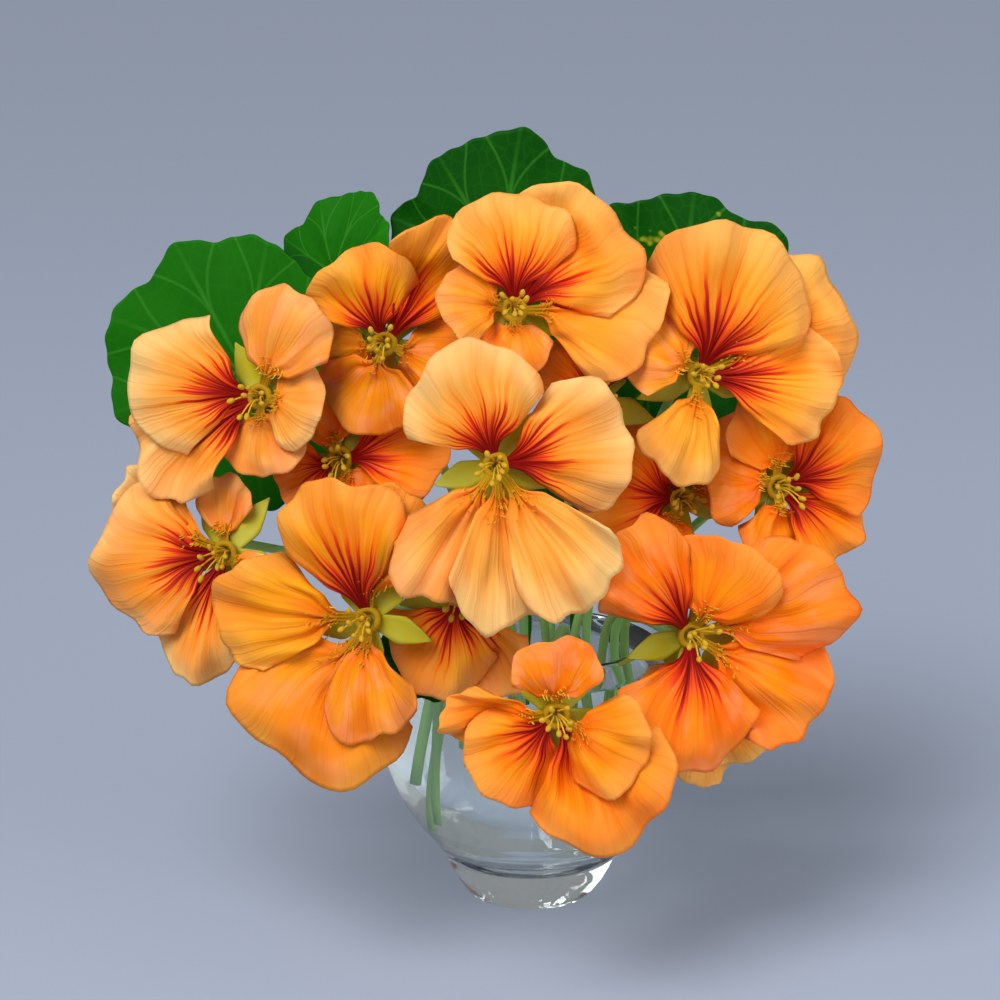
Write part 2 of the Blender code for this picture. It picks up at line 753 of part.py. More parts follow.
def main():
    """Build the whole bunch in its vase."""
    clear_scene()
    group = make_collection(COLLECTION)
    cutters = make_collection("cutters")
    materials = {tone: make_material("petal_" + tone, colour, 0.55)
                 for tone, colour in TONES.items()}
    materials["green"] = make_material("stalk", GREEN, 0.5)
    materials["leaf"] = make_material("leaf", LEAF_GREEN, 0.5)
    placed, crowd = place_blooms()
    routes = []
    for number, leaf in enumerate(LEAVES, 1):
        if leaf.in_front:
            routes.append(build_leaf(f"leaf_{number}", leaf, crowd, group, materials["leaf"]))
    for name, bloom, blades in placed:
        route = build_bloom(name, bloom, blades, group, materials)
        routes.append(route)
        add_rod(crowd, route)
    for number, leaf in enumerate(LEAVES, 1):
        if not leaf.in_front:
            routes.append(build_leaf(f"leaf_{number}", leaf, crowd, group, materials["leaf"]))
    build_vase(group, make_material("glass", (0.86, 0.93, 0.9), 0.03, 0.35))
    build_water(group, cutters, routes, make_material("water", (0.9, 0.95, 0.95), 0.03, 0.4))


main()
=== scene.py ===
"""Dress the CAD of a cut bunch of nasturtiums that stands in water in a round glass vase.

Sizes and places are in millimetres, and turn into metres where a mesh is made. The
middle of the vase's underside is the origin, +Z is up, and the bunch leans towards -Y,
the side that it is looked at from.
"""

import logging
import math
from dataclasses import dataclass, field
from enum import Enum

import bpy
import numpy as np
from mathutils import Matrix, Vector
from mathutils.bvhtree import BVHTree


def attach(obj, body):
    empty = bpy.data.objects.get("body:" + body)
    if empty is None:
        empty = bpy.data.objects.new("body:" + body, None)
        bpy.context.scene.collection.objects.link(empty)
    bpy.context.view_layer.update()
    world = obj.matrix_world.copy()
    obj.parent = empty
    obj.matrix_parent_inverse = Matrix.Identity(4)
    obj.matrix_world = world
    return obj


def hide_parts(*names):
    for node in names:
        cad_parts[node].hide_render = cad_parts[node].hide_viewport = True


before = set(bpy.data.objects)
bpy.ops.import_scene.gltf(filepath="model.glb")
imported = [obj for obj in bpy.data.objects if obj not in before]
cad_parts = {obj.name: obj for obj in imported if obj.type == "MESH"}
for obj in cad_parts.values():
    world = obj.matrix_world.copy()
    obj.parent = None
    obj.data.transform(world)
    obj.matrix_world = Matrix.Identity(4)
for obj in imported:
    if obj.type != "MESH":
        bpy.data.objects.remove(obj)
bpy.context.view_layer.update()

log = logging.getLogger("nasturtium bunch")

Pair = tuple[float, float]
Triple = tuple[float, float, float]
Socket = bpy.types.NodeSocket
Thing = bpy.types.Object

MM = 0.001

# Blades, as in the solids
THROAT_RADIUS = 3.0
CLAW_HALF_WIDTH = 1.2
CLAW_OVERLAP = 0.4
UPPER_CLAW = 0.5
LOWER_CLAW = 0.3
CLAW_FROM = 0.05
CLAW_PART = 0.42
WIDEST_AT = 1.1
WIDEST_FAN = 0.85
CORNER_DROP = 0.28
CORNER_POWER = 2.4
NOTCH = 0.03
NOTCH_RATE = 5.0
RIPPLE = 0.045
RIPPLE_RATE = 4.2
LEAF_RIBS = 9
LEAF_PLAIN_RINGS = 2
LEAF_SCALLOP = 0.035
LEAF_OVAL = 0.06
LEAF_RELIEF = (0.15, 0.55)  # how high its margin stands, and its ribs beyond that
LEAF_WAVE = 1.5
LEAF_DIMPLE = 1.2
LEAF_DIMPLE_PART = 0.25

# Throat, cup, sepals, spur and stalk, as in the solids
RING_THICK = 1.3
RING_RADIUS = RING_THICK * 0.75
CUP_RADIUS = 3.3
CUP_BACK = 1.9
CUP_DEPTH = 8.0
SEPALS = 5
SEPAL_LENGTH = 15.0
SEPAL_STEPS = (  # part of the length, height and half width
    (0.0, 0.0, 1.94), (0.45, -1.6, 2.91), (1.0, -3.2, 0.58),
)
SPUR_LENGTH = 20.0
SPUR_STEPS = ((0.3, 0.75), (0.65, 0.53), (1.0, 0.32))  # part of the length, share of the width
STALK_RADIUS = 1.3
STALK_SETS_OUT = (0.95, 0.15)  # how far back and how far down it heads
STALK_LEAD = 12.0
STALK_ARCH = (0.0, 5.0, 3.0)
STALK_SPREAD = 1.12
MOUTH_HEIGHT = 86.0
RIM_CLEARANCE = 6.0
WALL_CLEARANCE = 6.0
GAP = 0.3

# Room that one blade leaves in front of or behind the next
CLEAR_REACH = 9.0
LEAF_REACH = 16.0
SIBLING_REACH = 5.0
SEPAL_REACH = 5.0
CLEAR_GAP = 1.3
CLEAR_SLOPE = 0.7
CLEAR_SPOTS = 8
BEHIND_ALL = 400.0
SEPAL_ROOM_DEPTH = 7.5
CUP_ROOM = 6.0
CUP_ROOM_DEPTH = 10.5
PLATE_SIDES = 8
SIBLING_SHIFT = (0.1, 0.4)  # from which part of a petal it bends back, and over what part
BUNCH_SHIFT = (0.0, 0.4)
FINE_SHIFT = (0.25, 0.2)
FINE_REACH = 1.2
FINE_GAP = 0.9

# What the finer pieces add
PETAL_THICK = 0.4
PETAL_ALONG = 30
PETAL_ACROSS = 26
COLLAR_SIDES = (28, 8)
COLLAR_INSET = 0.1
WHOLE_CELLS = 4  # cells of the plain petals, on the blooms that show their throat
SLIM_CLAW = 0.14
SHOULDERS = (0.16, 0.27)  # from which part a slim claw widens, and over what part
LEAF_THICK = 0.5
LEAF_CELLS = 66
LEAF_LOBES = ((0.030, 4.0), (0.016, 13.0), (0.007, 31.0))
ROUTE_STEPS = 9
ROD_STEPS = 2
STALK_SIDES = 12
WELD = 0.01
SHARP_GLASS = 40.0
RELIEF_DEPTH = 0.3
PLANT_SHINE = 0.08

# Numbers of the random draws, and how far apart the patterns of two petals may lie
BLOOM_DRAWS = 100
MARK_DRAW = 20
RUFFLE_DRAW = 50
STAMEN_DRAW = 90
LEAF_DRAW = 900
SEED_RANGE = 40.0

# How light each leaf is, partly its own green and partly painted shade that darkens the leaves
# standing in shadow, and which one has a pale edge or yellow blotches
LEAF_LIGHT = {2: 0.55, 3: 0.55}
DARK_AND_SHADED_LEAF_LIGHT = 0.05
PALE_EDGE_LEAF = 3
PALE_EDGE = (0.60, 0.08)
PALE_EDGE_LIGHT = 0.6
BLOTCHED_LEAF = 5

# Vase and water
VASE_HEIGHT = 82.0
VASE_WALL = 2.6
RIM_RISE = 1.0
VASE_OUTSIDE = (  # radius and height, from the foot to the rim
    (17.0, 0.0), (20.0, 1.5), (22.5, 5.0), (29.0, 17.0), (37.0, 27.5),
    (43.5, 43.0), (45.0, 56.0), (43.0, 70.0), (40.0, VASE_HEIGHT - RIM_RISE),
)
VASE_UNDERSIDE = (  # radius and height, from the foot's outside to the axis
    (20.0, 1.5), (19.3, 0.5), (17.5, 0.0), (14.0, 0.0), (12.0, 0.7), (0.0, 1.0),
)
VASE_FLOOR = (  # radius and height inside, from the axis out
    (0.0, 12.5), (12.0, 13.2), (21.0, 16.5), (27.5, 21.5),
)
WALL_FROM = 25.0  # height at which the floor has turned into the wall
WATER_TOP = 74.0
WATER_UNDER_EDGE = 0.5
WATER_EDGE = ((4.0, 0.0), (1.2, 0.25), (0.0, 0.8))  # in from the glass, and up it
WATER_BITE = 0.3  # the water reaches this far into the glass, so no film of air shows
LIGHT_LET_THROUGH = 0.93  # share of a lamp's light that passes each face of the glass

# Camera
AIM = (-9.0, 0.0, 120.7)
CAMERA_DISTANCE = 800.0
CAMERA_ELEVATION = 16.0
LENS = 99.3
SENSOR = 36.0
NEAREST_SEEN = 10.0


class Tone(Enum):
    """The colours that the blooms come in."""

    CREAM = "cream"
    APRICOT = "apricot"
    ORANGE = "orange"
    GOLDEN = "golden"


@dataclass(frozen=True)
class Ramp:
    """From where to where a value counts, and how much it counts at either end."""

    start: float
    end: float
    low: float = 0.0
    high: float = 1.0


@dataclass(frozen=True)
class Grain:
    """A noise: its scale, its detail and how much of it shows."""

    scale: float
    detail: float
    shows: Ramp


@dataclass(frozen=True)
class PetalFinish:
    """The colours of one kind of petal, from its heart to its margin."""

    tone: Tone
    heart: Triple
    blade: Triple
    margin: Triple
    streak: Triple = (0.74, 0.045, 0.006)
    deep: Triple = (0.24, 0.004, 0.003)
    roughness: float = 0.5
    relief: float = 0.45


@dataclass(frozen=True)
class Finish:
    """A finish of one colour, with a second one where it drifts to another."""

    name: str
    roughness: float
    colour: Triple
    second: Triple | None = None
    spots: Grain = Grain(160.0, 3.0, Ramp(0.2, 0.7, 0.75, 1.0))


@dataclass(frozen=True)
class LeafFinish:
    """The colours of a leaf, its net, veins and blotches, and how much of each shows."""

    name: str = "leaf"
    roughness: float = 0.6
    dark: Triple = (0.001, 0.060, 0.0005)
    pale: Triple = (0.012, 0.19, 0.001)
    net: Triple = (0.03, 0.22, 0.012)
    vein: Triple = (0.05, 0.30, 0.02)
    blotch: Triple = (0.30, 0.34, 0.012)
    spots: Grain = Grain(55.0, 4.0, Ramp(0.35, 0.75))
    blotches: Grain = Grain(9.0, 2.0, Ramp(0.60, 0.66))
    spot_share: float = 0.16
    net_share: float = 0.10
    vein_share: float = 0.45
    relief: float = 0.5


@dataclass(frozen=True)
class ClearFinish:
    """A clear finish, and how much it bends the light."""

    name: str
    colour: Triple
    bends: float
    roughness: float = 0.0
    shine: float = 0.5


PETAL_FINISHES = (
    PetalFinish(Tone.CREAM, (0.90, 0.21, 0.003), (0.85, 0.42, 0.075), (0.88, 0.60, 0.22)),
    PetalFinish(Tone.APRICOT, (0.92, 0.18, 0.002), (0.93, 0.42, 0.032), (0.94, 0.50, 0.12)),
    PetalFinish(Tone.ORANGE, (0.92, 0.12, 0.001), (0.94, 0.30, 0.005), (0.94, 0.35, 0.05)),
    PetalFinish(Tone.GOLDEN, (0.80, 0.14, 0.001), (0.92, 0.38, 0.008), (0.92, 0.42, 0.06)),
)
STALK_FINISH = Finish("stalk", 0.45, (0.36, 0.68, 0.22), (0.52, 0.43, 0.012))
STAMEN_FINISH = Finish("stamens", 0.6, (0.80, 0.50, 0.03), (0.56, 0.33, 0.02))
FLOOR_FINISH = Finish("floor", 0.8, (0.39, 0.44, 0.55))
VASE_FINISH = ClearFinish("glass", (0.95, 0.985, 0.97), 1.5)
WATER_FINISH = ClearFinish("water", (0.985, 0.995, 0.99), 1.33)


def smoothstep(value: np.ndarray, start: float = 0.0, part: float = 1.0) -> np.ndarray:
    """0 up to the start and 1 past the part after it, with no slope at either end."""
    value = np.clip((value - start) / part, 0.0, 1.0)
    return value * value * (3.0 - 2.0 * value)


def waves(table: tuple, place: np.ndarray, turns: tuple, shape: np.ufunc = np.sin) -> np.ndarray:
    """The sum of one wave along a place for each height and rate in a table."""
    return sum(height * shape(rate * place + turn) for (height, rate), turn in zip(table, turns))


def facing(azimuth: float, elevation: float) -> tuple[np.ndarray, np.ndarray, np.ndarray]:
    """Directions of a bloom or leaf that faces this way.

    Args:
        azimuth: Turn to the right of -Y, in degrees.
        elevation: Tilt upwards, in degrees.

    Returns:
        Its right, up and outward directions.
    """
    turn, tilt = math.radians(azimuth), math.radians(elevation)
    outward = np.array((
        math.sin(turn) * math.cos(tilt), -math.cos(turn) * math.cos(tilt), math.sin(tilt)))
    right = np.array((math.cos(turn), math.sin(turn), 0.0))
    return right, np.cross(outward, right), outward


def smooth_route(points: list, steps: int) -> list[Vector]:
    """A smooth curve through points.

    Args:
        points: The places that it passes through.
        steps: How many places it gets for each stretch.

    Returns:
        The places along the curve.
    """
    points = [Vector(p) for p in points]
    ends = [points[0] * 2 - points[1], *points, points[-1] * 2 - points[-2]]
    route = []
    for a, b, c, d in zip(ends, ends[1:], ends[2:], ends[3:]):
        for k in range(steps):
            t = k / steps
            route.append(0.5 * ((2 * b) + (c - a) * t + (2 * a - 5 * b + 4 * c - d) * t * t
                                + (3 * b - a - 3 * c + d) * t ** 3))
    return [*route, points[-1]]


def inside_radius(height: float) -> float:
    """Radius of the vase's inner wall at a height."""
    radii, heights = zip(*VASE_OUTSIDE)
    return float(np.interp(height, heights, radii)) - VASE_WALL


def stalk_knots(start: np.ndarray, heading: np.ndarray, mouth: Pair, foot: float) -> list[Vector]:
    """Where a stalk passes from a bloom or leaf, over the rim and into the water.

    Args:
        start: Where it grows from.
        heading: The way it sets out.
        mouth: Where it passes the rim, seen from above.
        foot: The height of its cut end.

    Returns:
        The places that its route passes through.
    """
    top = Vector((*mouth, MOUTH_HEIGHT))
    first = Vector(start)
    bend = first + Vector(heading) * STALK_LEAD
    bend.z = max(bend.z, MOUTH_HEIGHT + RIM_CLEARANCE)
    middle = bend.lerp(top, 0.5) + Vector(STALK_ARCH)
    lean = min(STALK_SPREAD, (inside_radius(foot) - WALL_CLEARANCE) / math.hypot(*mouth))
    return [first, bend, middle, top, Vector((mouth[0] * lean, mouth[1] * lean, foot))]


def knot_weights(places: np.ndarray, cells: int) -> np.ndarray:
    """How much each knot of an even row counts at places along it.

    Args:
        places: Places from 0 to 1.
        cells: How many cells the row has.

    Returns:
        One row of weights for each place.
    """
    weights = np.zeros((len(places), cells + 1))
    spot = np.clip(places, 0.0, 1.0) * cells
    cell = np.minimum(spot.astype(int), cells - 1)
    t = spot - cell
    shares = (
        -0.5 * t + t ** 2 - 0.5 * t ** 3, 1.0 - 2.5 * t ** 2 + 1.5 * t ** 3,
        0.5 * t + 2.0 * t ** 2 - 1.5 * t ** 3, -0.5 * t ** 2 + 0.5 * t ** 3)
    for offset, share in zip((-1, 0, 1, 2), shares):
        np.add.at(weights, (np.arange(len(places)), np.clip(cell + offset, 0, cells)), share)
    return weights


class Crowd:
    """The blades that are in place, which the next ones are bent clear of."""

    def __init__(self) -> None:
        """Start with no blades."""
        self.points: list[Vector] = []
        self.faces: list[tuple] = []
        self.tree: BVHTree | None = None

    def add(self, points: np.ndarray, faces: list[tuple]) -> None:
        """Take in one blade.

        Args:
            points: Its points.
            faces: Its faces, by the number of each point.
        """
        start = len(self.points)
        self.points += [Vector(p) for p in points]
        self.faces += [tuple(start + i for i in face) for face in faces]
        self.tree = BVHTree.FromPolygons(self.points, self.faces)

    def add_plate(self, bloom: "Bloom", radius: float, depth: float) -> None:
        """Take in a round plate behind a throat, for the room of its sepals or its cup.

        Args:
            bloom: The bloom that it stands behind.
            radius: The plate's radius.
            depth: How far behind the throat it stands.
        """
        right, up, outward = facing(*bloom.faces)
        middle = bloom.centre - depth * outward
        rim = [middle + radius * (math.cos(turn) * right + math.sin(turn) * up)
               for turn in np.linspace(0.0, 2.0 * math.pi, PLATE_SIDES, endpoint=False)]
        self.add(np.array(rim), [(0, k, k + 1) for k in range(1, PLATE_SIDES - 1)])

    def add_rod(self, route: list[Vector]) -> None:
        """Take in a stalk, as a narrow strip on its far side.

        Args:
            route: The places along the stalk. The last one stays out.
        """
        back = [point + Vector((0.0, STALK_RADIUS, 0.0)) for point in route[:-1]]
        side = Vector((STALK_RADIUS, 0.0, 0.0))
        points = [spot for point in back for spot in (point - side, point + side)]
        self.add(points, [(k, k + 1, k + 3, k + 2) for k in range(0, len(points) - 2, 2)])

    def push(self, point: np.ndarray, reach: float, gap: float = CLEAR_GAP) -> float:
        """How far a point has to go back to lie behind what is near it in the view.

        Args:
            point: The point.
            reach: How near, to the side or up and down, a blade has to be.
            gap: How far behind the blade the point has to lie.

        Returns:
            The way back, or 0 where nothing is in the way.
        """
        if self.tree is None:
            return 0.0
        furthest = 0.0
        spots = [(0.0, 0.0)]
        for ring in (0.5, 1.0):
            for k in range(CLEAR_SPOTS):
                turn = math.pi * (k + ring) / (CLEAR_SPOTS / 2)
                spots.append((reach * ring * math.cos(turn), reach * ring * math.sin(turn)))
        for dx, dz in spots:
            start = Vector((point[0] + dx, BEHIND_ALL, point[2] + dz))
            hit = self.tree.ray_cast(start, Vector((0.0, -1.0, 0.0)))[0]
            if hit:
                furthest = max(furthest, hit.y + gap - point[1])
        return furthest


def eased(points: np.ndarray, spots: np.ndarray, shifts: np.ndarray) -> np.ndarray:
    """The least shift at points that covers the shifts at spots and changes gently."""
    apart = np.linalg.norm(points[:, None, :] - spots[None, :, :], axis=2)
    return np.maximum(0.0, (shifts[None, :] - CLEAR_SLOPE * apart).max(axis=1))


def grid_faces(cells: int) -> list[tuple]:
    """Triangles of a square grid of points.

    Args:
        cells: How many cells it has each way.

    Returns:
        The three points of each triangle.
    """
    faces = []
    for i in range(cells):
        for j in range(cells):
            a = i * (cells + 1) + j
            b, c, d = a + 1, a + cells + 2, a + cells + 1
            faces += [(a, b, c), (a, c, d)] if (i + j) % 2 else [(a, b, d), (b, c, d)]
    return faces


def choose(*things: Thing) -> None:
    """Leave these objects alone selected, and the first of them active.

    Args:
        things: The objects.
    """
    bpy.ops.object.select_all(action="DESELECT")
    for thing in things:
        thing.select_set(True)
    bpy.context.view_layer.objects.active = things[0]


def start_mesh(name: str, data: bpy.types.ID) -> Thing:
    """Put new data into the scene as the one chosen object.

    Args:
        name: The object's name.
        data: Its mesh or curve.

    Returns:
        The object.
    """
    thing = bpy.data.objects.new(name, data)
    bpy.context.collection.objects.link(thing)
    choose(thing)
    return thing


def apply_all(thing: Thing) -> None:
    """Work an object's modifiers into its mesh.

    Args:
        thing: The object.
    """
    choose(thing)
    for modifier in list(thing.modifiers):
        bpy.ops.object.modifier_apply(modifier=modifier.name)


def turn_outwards(weld: bool) -> None:
    """Make the faces of the chosen object point outwards.

    Args:
        weld: Whether points that lie in one place are merged first.
    """
    bpy.ops.object.mode_set(mode="EDIT")
    bpy.ops.mesh.select_all(action="SELECT")
    if weld:
        bpy.ops.mesh.remove_doubles(threshold=WELD * MM)
    bpy.ops.mesh.normals_make_consistent(inside=False)
    bpy.ops.object.mode_set(mode="OBJECT")


def join(things: list[Thing], name: str) -> Thing:
    """Make one object of several.

    Args:
        things: The objects, the first of which stays.
        name: The name that it gets.

    Returns:
        The joined object.
    """
    choose(*things)
    bpy.ops.object.join()
    things[0].name = things[0].data.name = name
    return things[0]


def mark(thing: Thing, **values: float | np.ndarray) -> None:
    """Write values that the finish reads to the points of a mesh.

    Args:
        thing: The object.
        values: Each value by its name, one for all points or one for each.
    """
    for name, value in values.items():
        layer = thing.data.attributes.new(name, "FLOAT", "POINT")
        layer.data.foreach_set("value", np.broadcast_to(
            np.asarray(value, dtype=np.float32), (len(thing.data.vertices),)).copy())


def new_sheet(name: str, along: int, across: int) -> tuple[Thing, np.ndarray, np.ndarray]:
    """Add a flat grid, to be shaped into a blade.

    Args:
        name: The object's name.
        along: Cells from its root to its tip.
        across: Cells from side to side.

    Returns:
        The object, and each point's place along, 0 to 1, and across, -1 to 1.
    """
    bpy.ops.object.select_all(action="DESELECT")
    bpy.ops.mesh.primitive_grid_add(
        x_subdivisions=across, y_subdivisions=along, size=2.0, calc_uvs=True)
    sheet = bpy.context.object
    sheet.name = name
    flat = np.zeros(len(sheet.data.vertices) * 3)
    sheet.data.vertices.foreach_get("co", flat)
    flat = flat.reshape(-1, 3)
    return sheet, (flat[:, 1] + 1.0) / 2.0, flat[:, 0].copy()


def shape_sheet(sheet: Thing, points: np.ndarray, thickness: float) -> None:
    """Move a sheet's points into place and give it its thickness.

    Args:
        sheet: The flat grid.
        points: Where its points go.
        thickness: How thick it gets.
    """
    sheet.data.vertices.foreach_set("co", (points * MM).ravel())
    sheet.data.update()
    wall = sheet.modifiers.new("thickness", "SOLIDIFY")
    wall.thickness = thickness * MM
    wall.offset = 0.0
    apply_all(sheet)
    bpy.ops.object.shade_smooth()


def bars(name: str, routes: list, radii: list, sides: int) -> Thing:
    """Round bars along routes, in one closed mesh.

    Args:
        name: The object's name.
        routes: The places along each bar.
        radii: The radius at each of those places.
        sides: How many sides the bars have.

    Returns:
        The object.
    """
    curve = bpy.data.curves.new(name, "CURVE")
    curve.dimensions = "3D"
    curve.bevel_depth = MM
    curve.bevel_resolution = (sides - 4) // 2
    curve.use_fill_caps = True
    for route, sizes in zip(routes, radii):
        spline = curve.splines.new("POLY")
        spline.points.add(len(route) - 1)
        for spot, point, radius in zip(spline.points, route, sizes):
            spot.co = (*(float(c) * MM for c in point), 1.0)
            spot.radius = radius
    start_mesh(name, curve)
    bpy.ops.object.convert(target="MESH")
    turn_outwards(weld=True)
    bpy.ops.object.shade_smooth()
    return bpy.context.object


class Bench:
    """Adds nodes to one tree and wires them."""

    def __init__(self, tree: bpy.types.NodeTree) -> None:
        """Work on this tree."""
        self.tree = tree

    def add(self, kind: str, **settings: str | bpy.types.NodeTree) -> bpy.types.Node:
        """Add a node.

        Args:
            kind: Blender's name for it.
            settings: What is set on it, by name.

        Returns:
            The node.
        """
        node = self.tree.nodes.new(kind)
        for name, value in settings.items():
            setattr(node, name, value)
        return node

    def feed(self, socket: Socket, value: Socket | float | Triple) -> None:
        """Wire a socket to another, or set it to a value.

        Args:
            socket: The input.
            value: The output that it is wired to, or a number or colour.
        """
        if isinstance(value, Socket):
            self.tree.links.new(value, socket)
        elif isinstance(value, tuple) and socket.type == "RGBA":
            socket.default_value = (*value, 1.0)
        else:
            socket.default_value = value

    def math(self, operation: str, *values: Socket | float) -> Socket:
        """Work out one value, or several from the first to the last.

        Args:
            operation: Blender's name for what is done.
            values: The values.

        Returns:
            The outcome.
        """
        total = values[0]
        for value in values[1:] or (0.0,):
            node = self.add("ShaderNodeMath", operation=operation)
            self.feed(node.inputs[0], total)
            self.feed(node.inputs[1], value)
            total = node.outputs[0]
        return total

    def plus(self, *values: Socket | float) -> Socket:
        """The sum of values."""
        return self.math("ADD", *values)

    def less(self, *values: Socket | float) -> Socket:
        """The first value less the others."""
        return self.math("SUBTRACT", *values)

    def times(self, *values: Socket | float) -> Socket:
        """The product of values."""
        return self.math("MULTIPLY", *values)

    def ramp(self, value: Socket, shows: Ramp) -> Socket:
        """A smooth rise or fall of a value.

        Args:
            value: The value.
            shows: From where to where it rises or falls.

        Returns:
            How much it counts.
        """
        node = self.add("ShaderNodeMapRange", interpolation_type="SMOOTHSTEP")
        for socket, given in zip(
                node.inputs, (value, shows.start, shows.end, shows.low, shows.high)):
            self.feed(socket, given)
        return node.outputs[0]

    def mix(self, share: Socket, first: Socket | Triple, second: Socket | Triple) -> Socket:
        """Mix two colours.

        Args:
            share: How much of the second shows.
            first: The first colour.
            second: The second colour.

        Returns:
            The mixed colour.
        """
        node = self.add("ShaderNodeMix", data_type="RGBA")
        # the two colours come after the inputs for its other kinds of mix
        for socket, value in zip((0, 6, 7), (share, first, second)):
            self.feed(node.inputs[socket], value)
        return node.outputs[2]

    def noise(self, place: Socket, scale: float = 1.0, detail: float = 2.0) -> Socket:
        """Noise along one value, or over a place where a vector is given.

        Args:
            place: The value or the place.
            scale: How fine the noise is.
            detail: How many finer layers it has.

        Returns:
            The noise.
        """
        line = place.type == "VALUE"
        node = self.add("ShaderNodeTexNoise", noise_dimensions="1D" if line else "3D")
        self.feed(node.inputs["W" if line else "Vector"], place)
        self.feed(node.inputs["Scale"], scale)
        self.feed(node.inputs["Detail"], detail)
        return node.outputs[0]

    def grain(self, place: Socket, grain: Grain) -> Socket:
        """How much of a grain shows at a place."""
        return self.ramp(self.noise(place, grain.scale, grain.detail), grain.shows)

    def read(self, attribute: str) -> Socket:
        """A value that the mesh holds for each of its points."""
        return self.add("ShaderNodeAttribute", attribute_name=attribute).outputs["Fac"]

    def split(self, place: Socket) -> tuple[Socket, Socket]:
        """The first two parts of a place.

        Args:
            place: The place.

        Returns:
            How far it lies across and how far along.
        """
        node = self.add("ShaderNodeSeparateXYZ")
        self.feed(node.inputs[0], place)
        return node.outputs[0], node.outputs[1]


VALUE, COLOUR, PLACE = "NodeSocketFloat", "NodeSocketColor", "NodeSocketVector"


def new_group(name: str, takes: dict, gives: dict) -> tuple[Bench, dict, bpy.types.Node]:
    """Start a shader node group.

    Args:
        name: The group's name.
        takes: Its inputs' names and socket types.
        gives: Its outputs' names and socket types.

    Returns:
        A bench on its tree, its inputs by name, and its output node.
    """
    tree = bpy.data.node_groups.new(name, "ShaderNodeTree")
    for in_out, sockets in (("INPUT", takes), ("OUTPUT", gives)):
        for title, kind in sockets.items():
            tree.interface.new_socket(name=title, in_out=in_out, socket_type=kind)
    bench = Bench(tree)
    start, end = bench.add("NodeGroupInput"), bench.add("NodeGroupOutput")
    return bench, {title: start.outputs[title] for title in takes}, end


